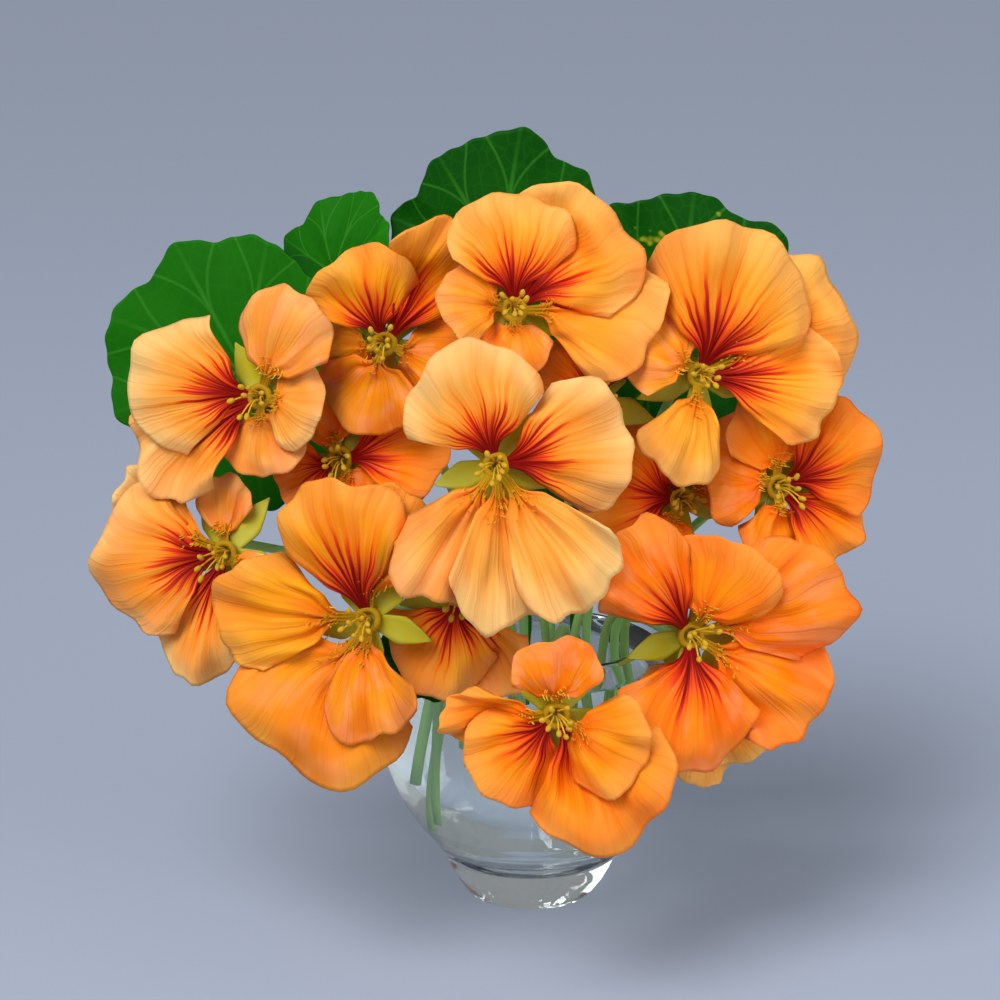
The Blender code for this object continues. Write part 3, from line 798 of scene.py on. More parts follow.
@dataclass(frozen=True)
class PetalMarkings:
    """How the veins, flushes and rays lie on a petal.

    Ramps run along the petal, from its claw, 0, to its margin, 1, or over a noise.
    """

    cloud: Pair = (3.0, 1.6)
    patches: Grain = Grain(1.0, 2.0, Ramp(0.40, 0.66))
    patch_share: float = 0.36
    drift_rate: float = 1.8
    drift: float = 0.11
    seed_step: float = 3.7
    broad: Grain = Grain(6.0, 1.0, Ramp(0.34, 0.68))
    fine: Grain = Grain(21.0, 1.0, Ramp(0.36, 0.70))
    veins: Grain = Grain(24.0, 3.0, Ramp(0.46, 0.66))
    blade: Ramp = Ramp(0.16, 0.55)
    margin: Ramp = Ramp(0.62, 1.0)
    flush: Ramp = Ramp(0.3, 0.9, 0.30, 0.50)
    blush: Grain = Grain(2.3, 2.0, Ramp(0.45, 0.65))
    blush_shade: Ramp = Ramp(0.45, 0.85, 0.08, 0.50)
    blush_colour: Triple = (0.92, 0.30, 0.12)
    bands: Ramp = Ramp(0.3, 1.0, 0.42, 0.10)
    inked: Ramp = Ramp(0.35, 0.95, 0.40, 0.12)
    ray_length: float = 0.27
    broad_rays: float = 0.14
    fine_rays: float = 0.26
    core: Ramp = Ramp(0.22, 0.46, 0.95, 0.0)
    ray_edge: Ramp = Ramp(-0.03, 0.08)
    ray_depth: Ramp = Ramp(0.04, 0.26)
    glow: Ramp = Ramp(-0.30, 0.04, 0.0, 0.8)
    claw: Ramp = Ramp(0.06, 0.34, 0.95, 0.0)
    claw_colour: Triple = (0.42, 0.25, 0.006)
    relief: Ramp = Ramp(0.1, 0.5)

    def build(self) -> bpy.types.NodeTree:
        """Make the group that gives a petal's colour and relief.

        Returns:
            The group.
        """
        bench, has, end = new_group(
            "petal markings",
            {"Across": VALUE, "Along": VALUE, "Seed": VALUE, "Rays": VALUE, "Shade": VALUE,
             "Heart": COLOUR, "Blade": COLOUR, "Margin": COLOUR, "Streak": COLOUR,
             "Deep": COLOUR},
            {"Color": COLOUR, "Height": VALUE})
        across, along, seed, heart = has["Across"], has["Along"], has["Seed"], has["Heart"]
        cloud = bench.add("ShaderNodeCombineXYZ")
        for socket, value in zip(cloud.inputs, (
                bench.times(across, self.cloud[0]), bench.times(along, self.cloud[1]), seed)):
            bench.feed(socket, value)
        cloud = cloud.outputs[0]
        drift = bench.noise(bench.plus(bench.times(along, self.drift_rate), seed))
        drift = bench.times(bench.less(drift, 0.5), self.drift, along)
        line = bench.plus(across, drift, bench.times(seed, self.seed_step))
        broad = bench.grain(line, self.broad)
        vein = bench.grain(line, self.veins)
        body = bench.mix(bench.ramp(along, self.blade), heart, has["Blade"])
        body = bench.mix(bench.ramp(along, self.margin), body, has["Margin"])
        flush = bench.plus(bench.times(has["Shade"], bench.ramp(along, self.flush)),
                           bench.times(bench.grain(cloud, self.patches), self.patch_share))
        body = bench.mix(flush, body, heart)
        blush = bench.times(bench.grain(cloud, self.blush),
                            bench.ramp(has["Shade"], self.blush_shade))
        body = bench.mix(blush, body, self.blush_colour)
        body = bench.mix(bench.times(broad, bench.ramp(along, self.bands)), body, heart)
        body = bench.mix(bench.times(vein, bench.ramp(along, self.inked)), body, heart)
        length = bench.plus(bench.times(broad, self.broad_rays), self.ray_length,
                            bench.times(bench.grain(line, self.fine), self.fine_rays))
        inside = bench.less(length, along)
        body = bench.mix(bench.times(bench.ramp(inside, self.glow), has["Rays"]), body, heart)
        claw = bench.times(bench.ramp(along, self.claw), bench.less(1.0, has["Rays"]))
        body = bench.mix(claw, body, self.claw_colour)
        rays = bench.math("MAXIMUM", bench.ramp(inside, self.ray_edge),
                          bench.ramp(along, self.core))
        ink = bench.mix(bench.ramp(inside, self.ray_depth), has["Streak"], has["Deep"])
        bench.feed(end.inputs["Color"], bench.mix(bench.times(rays, has["Rays"]), body, ink))
        bench.feed(end.inputs["Height"], bench.times(vein, bench.ramp(along, self.relief)))
        return bench.tree


@dataclass(frozen=True)
class LeafVeins:
    """How the ribs run from a leaf's middle and fork near its edge, in shares of its radius."""

    rib: Ramp = Ramp(0.004, 0.026, 1.0, 0.0)
    rib_along: Ramp = Ramp(0.95, 0.5, 0.25, 1.0)
    fork: Ramp = Ramp(0.003, 0.018, 1.0, 0.0)
    fork_along: Ramp = Ramp(0.38, 0.5, 0.0, 0.7)
    fork_spread: Ramp = Ramp(0.38, 1.15, 0.0, 0.42)
    net_scale: float = 16.0
    net: Ramp = Ramp(0.0, 0.09, 1.0, 0.0)
    first_rib: float = 10.5  # half a rib, and whole ones enough to stay above 0

    def build(self) -> bpy.types.NodeTree:
        """Make the group that says where a leaf's veins and its finer net are.

        Returns:
            The group.
        """
        bench, has, end = new_group(
            "leaf veins", {"Place": PLACE}, {"Veins": VALUE, "Net": VALUE})
        x, y = (bench.times(bench.less(part, 0.5), 2.0) for part in bench.split(has["Place"]))
        radius = bench.math("SQRT", bench.plus(bench.times(x, x), bench.times(y, y)))
        turn = bench.times(bench.math("ARCTAN2", y, x), LEAF_RIBS / (2.0 * math.pi))
        sector = bench.less(bench.math("FRACT", bench.plus(turn, self.first_rib)), 0.5)
        off = bench.math("ABSOLUTE", sector)
        width = bench.times(radius, 2.0 * math.pi / LEAF_RIBS)
        rib = bench.times(bench.ramp(bench.times(off, width), self.rib),
                          bench.ramp(radius, self.rib_along))
        fork = bench.math("ABSOLUTE", bench.less(off, bench.ramp(radius, self.fork_spread)))
        fork = bench.times(bench.ramp(bench.times(fork, width), self.fork),
                           bench.ramp(radius, self.fork_along))
        cells = bench.add("ShaderNodeTexVoronoi", feature="DISTANCE_TO_EDGE")
        bench.feed(cells.inputs["Vector"], has["Place"])
        bench.feed(cells.inputs["Scale"], self.net_scale)
        bench.feed(end.inputs["Veins"], bench.math("MAXIMUM", rib, fork))
        bench.feed(end.inputs["Net"], bench.ramp(cells.outputs["Distance"], self.net))
        return bench.tree


class Dresser:
    """Makes the materials, each once."""

    def __init__(self) -> None:
        """Make the node groups and the materials."""
        self.markings = PetalMarkings().build()
        self.veins = LeafVeins().build()
        self.petals = {finish.tone: self.petal(finish) for finish in PETAL_FINISHES}
        self.stalk = self.drifting(STALK_FINISH)
        self.stamens = self.drifting(STAMEN_FINISH)
        self.leaf = self.leaf_blade(LeafFinish())
        self.glass = self.clear(VASE_FINISH)
        self.water = self.clear(WATER_FINISH)
        self.floor = self.plain(FLOOR_FINISH)

    @staticmethod
    def start(name: str, roughness: float,
              shine: float = PLANT_SHINE) -> tuple[bpy.types.Material, Bench, bpy.types.Node]:
        """Start a material and give it its roughness.

        Args:
            name: The material's name.
            roughness: Its roughness.
            shine: How strongly it mirrors.

        Returns:
            The material, a bench on its tree and its shader.
        """
        material = bpy.data.materials.new(name)
        material.use_nodes = True
        shader = material.node_tree.nodes["Principled BSDF"]
        shader.inputs["Roughness"].default_value = roughness
        shader.inputs["Metallic"].default_value = 0.0
        shader.inputs["Specular IOR Level"].default_value = shine
        return material, Bench(material.node_tree), shader

    @staticmethod
    def relief(bench: Bench, shader: bpy.types.Node, height: Socket, strength: float) -> None:
        """Wire a height to a material's normal.

        Args:
            bench: The bench on the material's tree.
            shader: Its shader.
            height: The height.
            strength: How much of the height shows.
        """
        bump = bench.add("ShaderNodeBump")
        bench.feed(bump.inputs["Height"], height)
        bench.feed(bump.inputs["Strength"], strength)
        bench.feed(bump.inputs["Distance"], RELIEF_DEPTH * MM)
        bench.feed(shader.inputs["Normal"], bump.outputs[0])

    def petal(self, finish: PetalFinish) -> bpy.types.Material:
        """Make the material of one kind of petal.

        Args:
            finish: Its colours.

        Returns:
            The material.
        """
        material, bench, shader = self.start(f"petal {finish.tone.value}", finish.roughness)
        across, along = bench.split(
            bench.add("ShaderNodeUVMap", uv_map="UVMap").outputs[0])
        marks = bench.add("ShaderNodeGroup", node_tree=self.markings)
        bench.feed(marks.inputs["Across"], across)
        bench.feed(marks.inputs["Along"], along)
        for title in ("Seed", "Rays", "Shade"):
            bench.feed(marks.inputs[title], bench.read(title.lower()))
        for title in ("Heart", "Blade", "Margin", "Streak", "Deep"):
            bench.feed(marks.inputs[title], getattr(finish, title.lower()))
        bench.feed(shader.inputs["Base Color"], marks.outputs["Color"])
        self.relief(bench, shader, marks.outputs["Height"], finish.relief)
        return material

    def drifting(self, finish: Finish) -> bpy.types.Material:
        """Make a material that drifts to its second colour where the mesh is marked warm.

        Args:
            finish: Its colours.

        Returns:
            The material.
        """
        material, bench, shader = self.start(finish.name, finish.roughness)
        place = bench.add("ShaderNodeTexCoord").outputs["Object"]
        share = bench.times(bench.read("warm"), bench.grain(place, finish.spots))
        bench.feed(shader.inputs["Base Color"], bench.mix(share, finish.colour, finish.second))
        return material

    def leaf_blade(self, finish: LeafFinish) -> bpy.types.Material:
        """Make the material of the leaves and their stalks.

        Args:
            finish: Its colours.

        Returns:
            The material.
        """
        material, bench, shader = self.start(finish.name, finish.roughness)
        place = bench.add("ShaderNodeUVMap", uv_map="UVMap").outputs[0]
        veins = bench.add("ShaderNodeGroup", node_tree=self.veins)
        bench.feed(veins.inputs["Place"], place)
        spots = bench.grain(bench.add("ShaderNodeTexCoord").outputs["Object"], finish.spots)
        # each leaf's lightness, which holds painted shade on the leaves in shadow, plus its spots,
        # mixes its dark and pale greens
        light = bench.plus(bench.read("light"), bench.times(spots, finish.spot_share))
        body = bench.mix(light, finish.dark, finish.pale)
        net = bench.times(veins.outputs["Net"], finish.net_share)
        body = bench.mix(net, body, finish.net)
        patches = bench.times(bench.read("blotch"), bench.grain(place, finish.blotches))
        body = bench.mix(patches, body, finish.blotch)
        lines = bench.times(veins.outputs["Veins"], finish.vein_share)
        bench.feed(shader.inputs["Base Color"], bench.mix(lines, body, finish.vein))
        self.relief(bench, shader, veins.outputs["Veins"], finish.relief)
        return material

    def clear(self, finish: ClearFinish) -> bpy.types.Material:
        """Make a clear material that lets most of the lamps' light through.

        Args:
            finish: Its colour, and how much it bends the light.

        Returns:
            The material.
        """
        material, bench, shader = self.start(finish.name, finish.roughness, finish.shine)
        bench.feed(shader.inputs["Base Color"], finish.colour)
        shaded = bench.add("ShaderNodeLightPath").outputs["Is Shadow Ray"]
        bench.feed(shader.inputs["Alpha"],
                   bench.less(1.0, bench.times(shaded, LIGHT_LET_THROUGH)))
        shader.inputs["Transmission Weight"].default_value = 1.0
        shader.inputs["IOR"].default_value = finish.bends
        return material

    def plain(self, finish: Finish) -> bpy.types.Material:
        """Make a material of one colour.

        Args:
            finish: Its colour.

        Returns:
            The material.
        """
        material, bench, shader = self.start(finish.name, finish.roughness)
        bench.feed(shader.inputs["Base Color"], finish.colour)
        return material


def dress(piece: Thing, material: bpy.types.Material, slot: str, *nodes: str) -> None:
    """Give a piece its material, hang it under the root and hide the solids that it stands for.

    Args:
        piece: The finished object.
        material: Its material.
        slot: The material slot of the record. Not used.
        nodes: The solids that it replaces.
    """
    piece.data.materials.clear()
    piece.data.materials.append(material)
    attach(piece, "root")
    if nodes:
        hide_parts(*nodes)
    log.info("%s: %d faces", piece.name, len(piece.data.polygons))


@dataclass(frozen=True)
class Ruffles:
    """The fine waves and pleats of a petal.

    Heights are in millimetres on a petal of the usual length, and each stands with how
    fast its wave runs. Places are where a form starts and over what part it grows.
    """

    usual_length: float = 35.0
    margin: Pair = (0.5, 0.5)
    bites: tuple[Pair, ...] = ((0.022, 8.0), (0.014, 17.0))
    margin_waves: tuple[Pair, ...] = ((1.9, 7.0), (0.9, 13.0))
    flank: Pair = (1.7, 9.0)
    flank_at: Pair = (0.55, 0.45)
    pleats: tuple[Pair, ...] = ((0.42, 19.0), (0.60, 10.0))
    pleats_at: Pair = (0.0, 0.3)
    pleats_fade: Pair = (1.1, 0.5)
    roll: float = -1.5
    roll_at: Pair = (0.82, 0.18)
    roll_steady: float = 0.6
    roll_waves: tuple[Pair, ...] = ((0.4, 3.0),)
    twist: float = 1.6
    cup: float = 1.2
    cup_at: Pair = (0.2, 0.6)
    crumple: Pair = (7.5, 5.0)
    crumple_at: Pair = (0.2, 0.4)

    def bend(self, length: float, turns: np.ndarray, u: np.ndarray,
             v: np.ndarray) -> tuple[np.ndarray, np.ndarray]:
        """Work out the ruffles of one petal.

        Args:
            length: The petal's length.
            turns: Where its waves start.
            u: Places from the claw, 0, to the margin, 1.
            v: Places across, -1 to 1.

        Returns:
            What the petal's reach is multiplied by, and the height that is added.
        """
        margin = smoothstep(u, *self.margin)
        trim = 1.0 + margin * waves(self.bites, v, turns[0:2])
        high, rate = self.flank
        flanks = high * smoothstep(np.abs(v), *self.flank_at) * np.sin(rate * u + turns[4]) * u
        start, fade = self.pleats_fade
        pleats = smoothstep(u, *self.pleats_at) * (start - fade * u) * waves(
            self.pleats, v, (turns[5], turns[0]), np.cos)
        rolled = self.roll * smoothstep(u, *self.roll_at) * (
            self.roll_steady + waves(self.roll_waves, v, turns[6:7]))
        twisted = self.twist * math.sin(turns[1]) * v * np.abs(v) * u * u
        cupped = self.cup * math.sin(turns[0] * 2.0) * v * v * smoothstep(u, *self.cup_at)
        along, across = self.crumple
        crumpled = (np.sin(along * u + turns[3]) * np.sin(across * v + turns[6])
                    * smoothstep(u, *self.crumple_at))
        return trim, length / self.usual_length * (
            margin * waves(self.margin_waves, v, turns[2:4]) + flanks + pleats + rolled + twisted
            + cupped + crumpled)


@dataclass(frozen=True)
class Petal:
    """One petal: its direction seen from the front, its size and how it bends."""

    angle: float
    length: float
    width: float
    lift: float = 42.0
    curl: float = -55.0
    fold: float = 0.0
    upper: bool = False

    def surface(self, bloom: "Bloom", number: int, u: np.ndarray, v: np.ndarray,
                ruffled: bool = False) -> np.ndarray:
        """Points of the petal's middle surface.

        Args:
            bloom: The bloom that it belongs to.
            number: Which of its petals this is.
            u: Places from the claw, 0, to the margin, 1.
            v: Places across, -1 to 1.
            ruffled: Whether it gets its fine waves and its slim claw.

        Returns:
            One point for each pair of u and v.
        """
        right, up, outward = facing(*bloom.faces)
        angle = math.radians(self.angle)
        along = math.cos(angle) * right + math.sin(angle) * up
        across = -math.sin(angle) * right + math.cos(angle) * up
        phase, second = bloom.draw(number).uniform(0.0, 2.0 * math.pi, 2)
        if ruffled and bloom.is_open and not self.upper:
            claw, widens = SLIM_CLAW, smoothstep(u, *SHOULDERS)
        else:
            claw = UPPER_CLAW if self.upper else LOWER_CLAW
            widens = smoothstep(u, CLAW_FROM, CLAW_PART)
        half_fan = math.asin(min(WIDEST_FAN, self.width / (WIDEST_AT * self.length)))
        fan = v * half_fan * (claw + (1.0 - claw) * widens)
        reach = self.length * (1.0 - CORNER_DROP * np.abs(v) ** CORNER_POWER
                               + NOTCH * np.sin(NOTCH_RATE * v + second))
        lift, curl = math.radians(self.lift), math.radians(self.curl)
        out = reach * (np.sin(lift + curl * u) - math.sin(lift)) / curl
        height = reach * (math.cos(lift) - np.cos(lift + curl * u)) / curl
        height = height + self.fold * self.width * 0.5 * v * v * smoothstep(u)
        height = height + RIPPLE * self.length * u * u * np.sin(RIPPLE_RATE * v + phase)
        if ruffled:
            turns = bloom.draw(number + RUFFLE_DRAW).uniform(0.0, 2.0 * math.pi, 7)
            trim, added = Ruffles().bend(self.length, turns, u, v)
            out, height = out * trim, height + added
        radial = THROAT_RADIUS - CLAW_OVERLAP + out * np.cos(fan)
        sideways = out * np.sin(fan) + v * CLAW_HALF_WIDTH * (1.0 - u)
        return (np.array(bloom.throat, dtype=float) + radial[..., None] * along
                + sideways[..., None] * across + height[..., None] * outward)


@dataclass
class Bloom:
    """One bloom: its throat, the way it faces, its colour, petals and stalk."""

    throat: Triple
    faces: Pair
    tone: Tone
    petals: tuple[Petal, ...]
    mouth: Pair
    foot: float
    spur_turn: float = 0.0
    cells: int = WHOLE_CELLS
    number: int = 0
    centre: np.ndarray = field(default_factory=lambda: np.zeros(3))
    shifts: list[np.ndarray] = field(default_factory=list)
    own: Crowd = field(default_factory=Crowd)

    @property
    def name(self) -> str:
        """The name that its solids start with."""
        return f"bloom_{self.number:02d}"

    @property
    def is_open(self) -> bool:
        """Whether it shows its throat, so that its lower petals have slim claws."""
        return self.cells == WHOLE_CELLS

    @property
    def cup_front(self) -> np.ndarray:
        """The middle of the front of its cup."""
        return self.centre - (RING_RADIUS + GAP) * facing(*self.faces)[2]

    def draw(self, number: int) -> np.random.Generator:
        """One of its random draws."""
        return np.random.default_rng(BLOOM_DRAWS * self.number + number)

    def place(self, crowd: Crowd) -> None:
        """Bend the bloom clear of those in front, and take it into the crowd.

        Args:
            crowd: The blades that are in place.
        """
        rows = np.linspace(0.0, 1.0, self.cells + 1)[:, None]
        columns = np.linspace(-1.0, 1.0, self.cells + 1)[None, :]
        u, v = np.broadcast_arrays(rows, columns)
        faces = grid_faces(self.cells)
        siblings = Crowd()
        plain = [petal.surface(self, k, u, v) for k, petal in enumerate(self.petals)]
        blades = []
        for points in plain:
            flat = points.reshape(-1, 3)
            pushed = np.array([siblings.push(point, SIBLING_REACH) for point in flat])
            moved = points.copy()
            shift = eased(flat, flat, pushed).reshape(u.shape)
            moved[..., 1] += shift * smoothstep(rows, *SIBLING_SHIFT)
            siblings.add(moved.reshape(-1, 3), faces)
            blades.append(moved)
        flat = np.concatenate([points.reshape(-1, 3) for points in blades])
        pushed = np.array([crowd.push(point, CLEAR_REACH) for point in flat])
        throat = np.array(self.throat, dtype=float)
        whole = float(eased(throat[None, :], flat, pushed)[0])
        self.centre = throat + np.array((0.0, whole, 0.0))
        for points, first in zip(blades, plain):
            shift = eased(points.reshape(-1, 3), flat, pushed).reshape(u.shape)
            points[..., 1] += whole + (shift - whole) * smoothstep(rows, *BUNCH_SHIFT)
            self.shifts.append(points[..., 1] - first[..., 1])
            self.own.add(points.reshape(-1, 3), faces)
            crowd.add(points.reshape(-1, 3), faces)
        crowd.add_plate(self, SEPAL_LENGTH, SEPAL_ROOM_DEPTH)
        crowd.add_plate(self, CUP_ROOM, CUP_ROOM_DEPTH)

    def blade_points(self, k: int, u: np.ndarray, v: np.ndarray) -> np.ndarray:
        """Points of a ruffled petal in its place in the bunch.

        Args:
            k: Which petal it is.
            u: Places from the claw, 0, to the margin, 1.
            v: Places across, -1 to 1.

        Returns:
            One point for each pair of u and v.
        """
        points = self.petals[k].surface(self, k, u, v, ruffled=True)
        along = knot_weights(u, self.cells)
        across = knot_weights((v + 1.0) / 2.0, self.cells)
        points[:, 1] += np.einsum("ni,ij,nj->n", along, self.shifts[k], across)
        return points

    @staticmethod
    def settle(points: np.ndarray, u: np.ndarray, faces: list[tuple], siblings: Crowd) -> None:
        """Bend a ruffled petal back where it would pass through those in front of it.

        Args:
            points: Its points, which are moved.
            u: Each point's place from the claw, 0, to the margin, 1.
            faces: Its faces.
            siblings: The petals in front of it, which it then joins.
        """
        pushed = np.array([siblings.push(point, FINE_REACH, FINE_GAP) for point in points])
        points[:, 1] += eased(points, points, pushed) * smoothstep(u, *FINE_SHIFT)
        siblings.add(points, faces)

    def build_petals(self, dresser: Dresser) -> None:
        """Model the petals and the collar that they grow from.

        Args:
            dresser: The materials.
        """
        parts = []
        siblings = Crowd()
        for k, petal in enumerate(self.petals):
            sheet, u, v = new_sheet(f"{self.name}_petal_{k}", PETAL_ALONG, PETAL_ACROSS)
            draw = self.draw(k + MARK_DRAW)
            mark(sheet, seed=draw.uniform(0.0, SEED_RANGE), shade=draw.uniform(0.0, 1.0),
                 rays=1.0 if petal.upper else 0.0)
            points = self.blade_points(k, u, v)
            faces = [tuple(face.vertices) for face in sheet.data.polygons]
            self.settle(points, u, faces, siblings)
            shape_sheet(sheet, points, PETAL_THICK)
            parts.append(sheet)
        whole = join([*parts, self.build_collar()], f"{self.name}_blades")
        dress(whole, dresser.petals[self.tone], f"petal_{self.tone.value}",
              f"{self.name}_petals")

    def build_collar(self) -> Thing:
        """Model the short collar round the throat.

        Returns:
            The collar.
        """
        bpy.ops.object.select_all(action="DESELECT")
        around, through = COLLAR_SIDES
        bpy.ops.mesh.primitive_torus_add(
            major_segments=around, minor_segments=through, generate_uvs=False,
            major_radius=(THROAT_RADIUS - COLLAR_INSET) * MM, minor_radius=RING_RADIUS * MM)
        collar = bpy.context.object
        collar.rotation_mode = "QUATERNION"
        outward = Vector(facing(*self.faces)[2])
        collar.rotation_quaternion = Vector((0, 0, 1)).rotation_difference(outward)
        collar.location = Vector(self.centre) * MM
        bpy.ops.object.transform_apply(location=True, rotation=True, scale=True)
        bpy.ops.object.shade_smooth()
        mark(collar, seed=0.0, shade=0.0, rays=0.0)
        return collar

    def build_stalk(self, crowd: Crowd, dresser: Dresser) -> None:
        """Model the cup, sepals, spur and stalk.

        Args:
            crowd: What is in place, which the stalk joins.
            dresser: The materials.
        """
        _, up, outward = facing(*self.faces)
        calyx = Calyx()
        sepals = [calyx.build_sepal(self, k) for k in range(SEPALS)]
        cup = calyx.build_cup(self)
        root = self.cup_front - (CUP_DEPTH - calyx.stalk_inside) * outward + calyx.stalk_above * up
        back, down = STALK_SETS_OUT
        knots = stalk_knots(root, -back * outward - down * up, self.mouth, self.foot)
        crowd.add_rod([*smooth_route(knots[:4], ROD_STEPS), knots[-1]])
        stem = build_stem(f"{self.name}_stem", knots)
        mark(stem, warm=0.0)
        whole = join([cup, stem, *sepals], f"{self.name}_green")
        dress(whole, dresser.stalk, "stalk", f"{self.name}_stalk")


def build_stem(name: str, knots: list[Vector]) -> Thing:
    """Model a stalk through knots."""
    route = smooth_route(knots, ROUTE_STEPS)
    return bars(name, [route], [[STALK_RADIUS] * len(route)], STALK_SIDES)


@dataclass(frozen=True)
class Calyx:
    """The green cup behind the petals, its pointed sepals and its spur."""

    set_back: float = 0.8
    first_turn: float = 54.0
    along: int = 12
    across: int = 6
    thick: float = 0.6
    wider: float = 1.4
    waist: float = 0.15
    point: Pair = (0.8, 0.22)
    trough: float = 0.12
    clear_back: float = 0.4
    cup_places: Triple = (0.2, 3.0, 1.5)  # the first two from its front, the last from its back
    cup_radii: Triple = (CUP_RADIUS, 0.95 * CUP_RADIUS, 1.15 * CUP_BACK)
    cup_sides: int = 16
    cup_steps: int = 6
    spur_down: float = 0.9
    spur_back: float = 0.45
    warmth: float = 0.85
    stalk_inside: float = 1.2
    stalk_above: float = 0.6

    def build_sepal(self, bloom: Bloom, number: int) -> Thing:
        """Model one pointed sepal, bent back where it would pass through a petal.

        Args:
            bloom: The bloom that it belongs to.
            number: Which of its sepals this is.

        Returns:
            The sepal.
        """
        right, up, outward = facing(*bloom.faces)
        turn = math.radians(self.first_turn - 360.0 / SEPALS * number)
        way = math.cos(turn) * right + math.sin(turn) * up
        across = -math.sin(turn) * right + math.cos(turn) * up
        root = (bloom.cup_front - self.set_back * outward
                + CUP_RADIUS * math.cos(math.pi / SEPALS) * way)
        sheet, t, w = new_sheet(f"{bloom.name}_sepal_{number}", self.along, self.across)
        parts, heights, halves = zip(*SEPAL_STEPS)
        start, part = self.point
        pointed = np.sqrt(1.0 - np.clip((t - start) / part, 0.0, 1.0))
        half = np.interp(t, parts, halves) * (1.0 - self.waist * (2.0 * t - 1.0) ** 2)
        half = half * self.wider * pointed
        high = np.interp(t, parts, heights) + self.trough * half * w * w
        points = (root + (SEPAL_LENGTH * t)[:, None] * way + (half * w)[:, None] * across
                  + high[:, None] * outward)
        slant = 0.0
        for part, height, width in SEPAL_STEPS[1:]:
            for side in (-width, width):
                spot = (root + SEPAL_LENGTH * part * way + side * across
                        + (height - self.clear_back) * outward)
                slant = max(slant, bloom.own.push(spot, SEPAL_REACH) / part)
        points[:, 1] += slant * t
        shape_sheet(sheet, points, self.thick)
        mark(sheet, warm=1.0)
        return sheet

    def build_cup(self, bloom: Bloom) -> Thing:
        """Model the cup and the spur, which is drawn out of its back.

        Args:
            bloom: The bloom that it belongs to.

        Returns:
            The cup.
        """
        right, up, outward = facing(*bloom.faces)
        turn = math.radians(bloom.spur_turn)
        way = (self.spur_down * (math.sin(turn) * right - math.cos(turn) * up)
               - self.spur_back * outward)
        front = bloom.cup_front
        back = front - CUP_DEPTH * outward
        lip, belly, neck = self.cup_places
        knots = [front - lip * outward, front - belly * outward, back + neck * outward,
                 *(back + way * SPUR_LENGTH * part for part, _ in SPUR_STEPS)]
        sizes = [*self.cup_radii, *(CUP_BACK * narrow for _, narrow in SPUR_STEPS)]
        route = smooth_route(knots, self.cup_steps)
        spots = np.linspace(0.0, len(knots) - 1.0, len(route))
        cup = bars(f"{bloom.name}_cup", [route],
                   [np.interp(spots, range(len(knots)), sizes)], self.cup_sides)
        mark(cup, warm=self.warmth)
        return cup


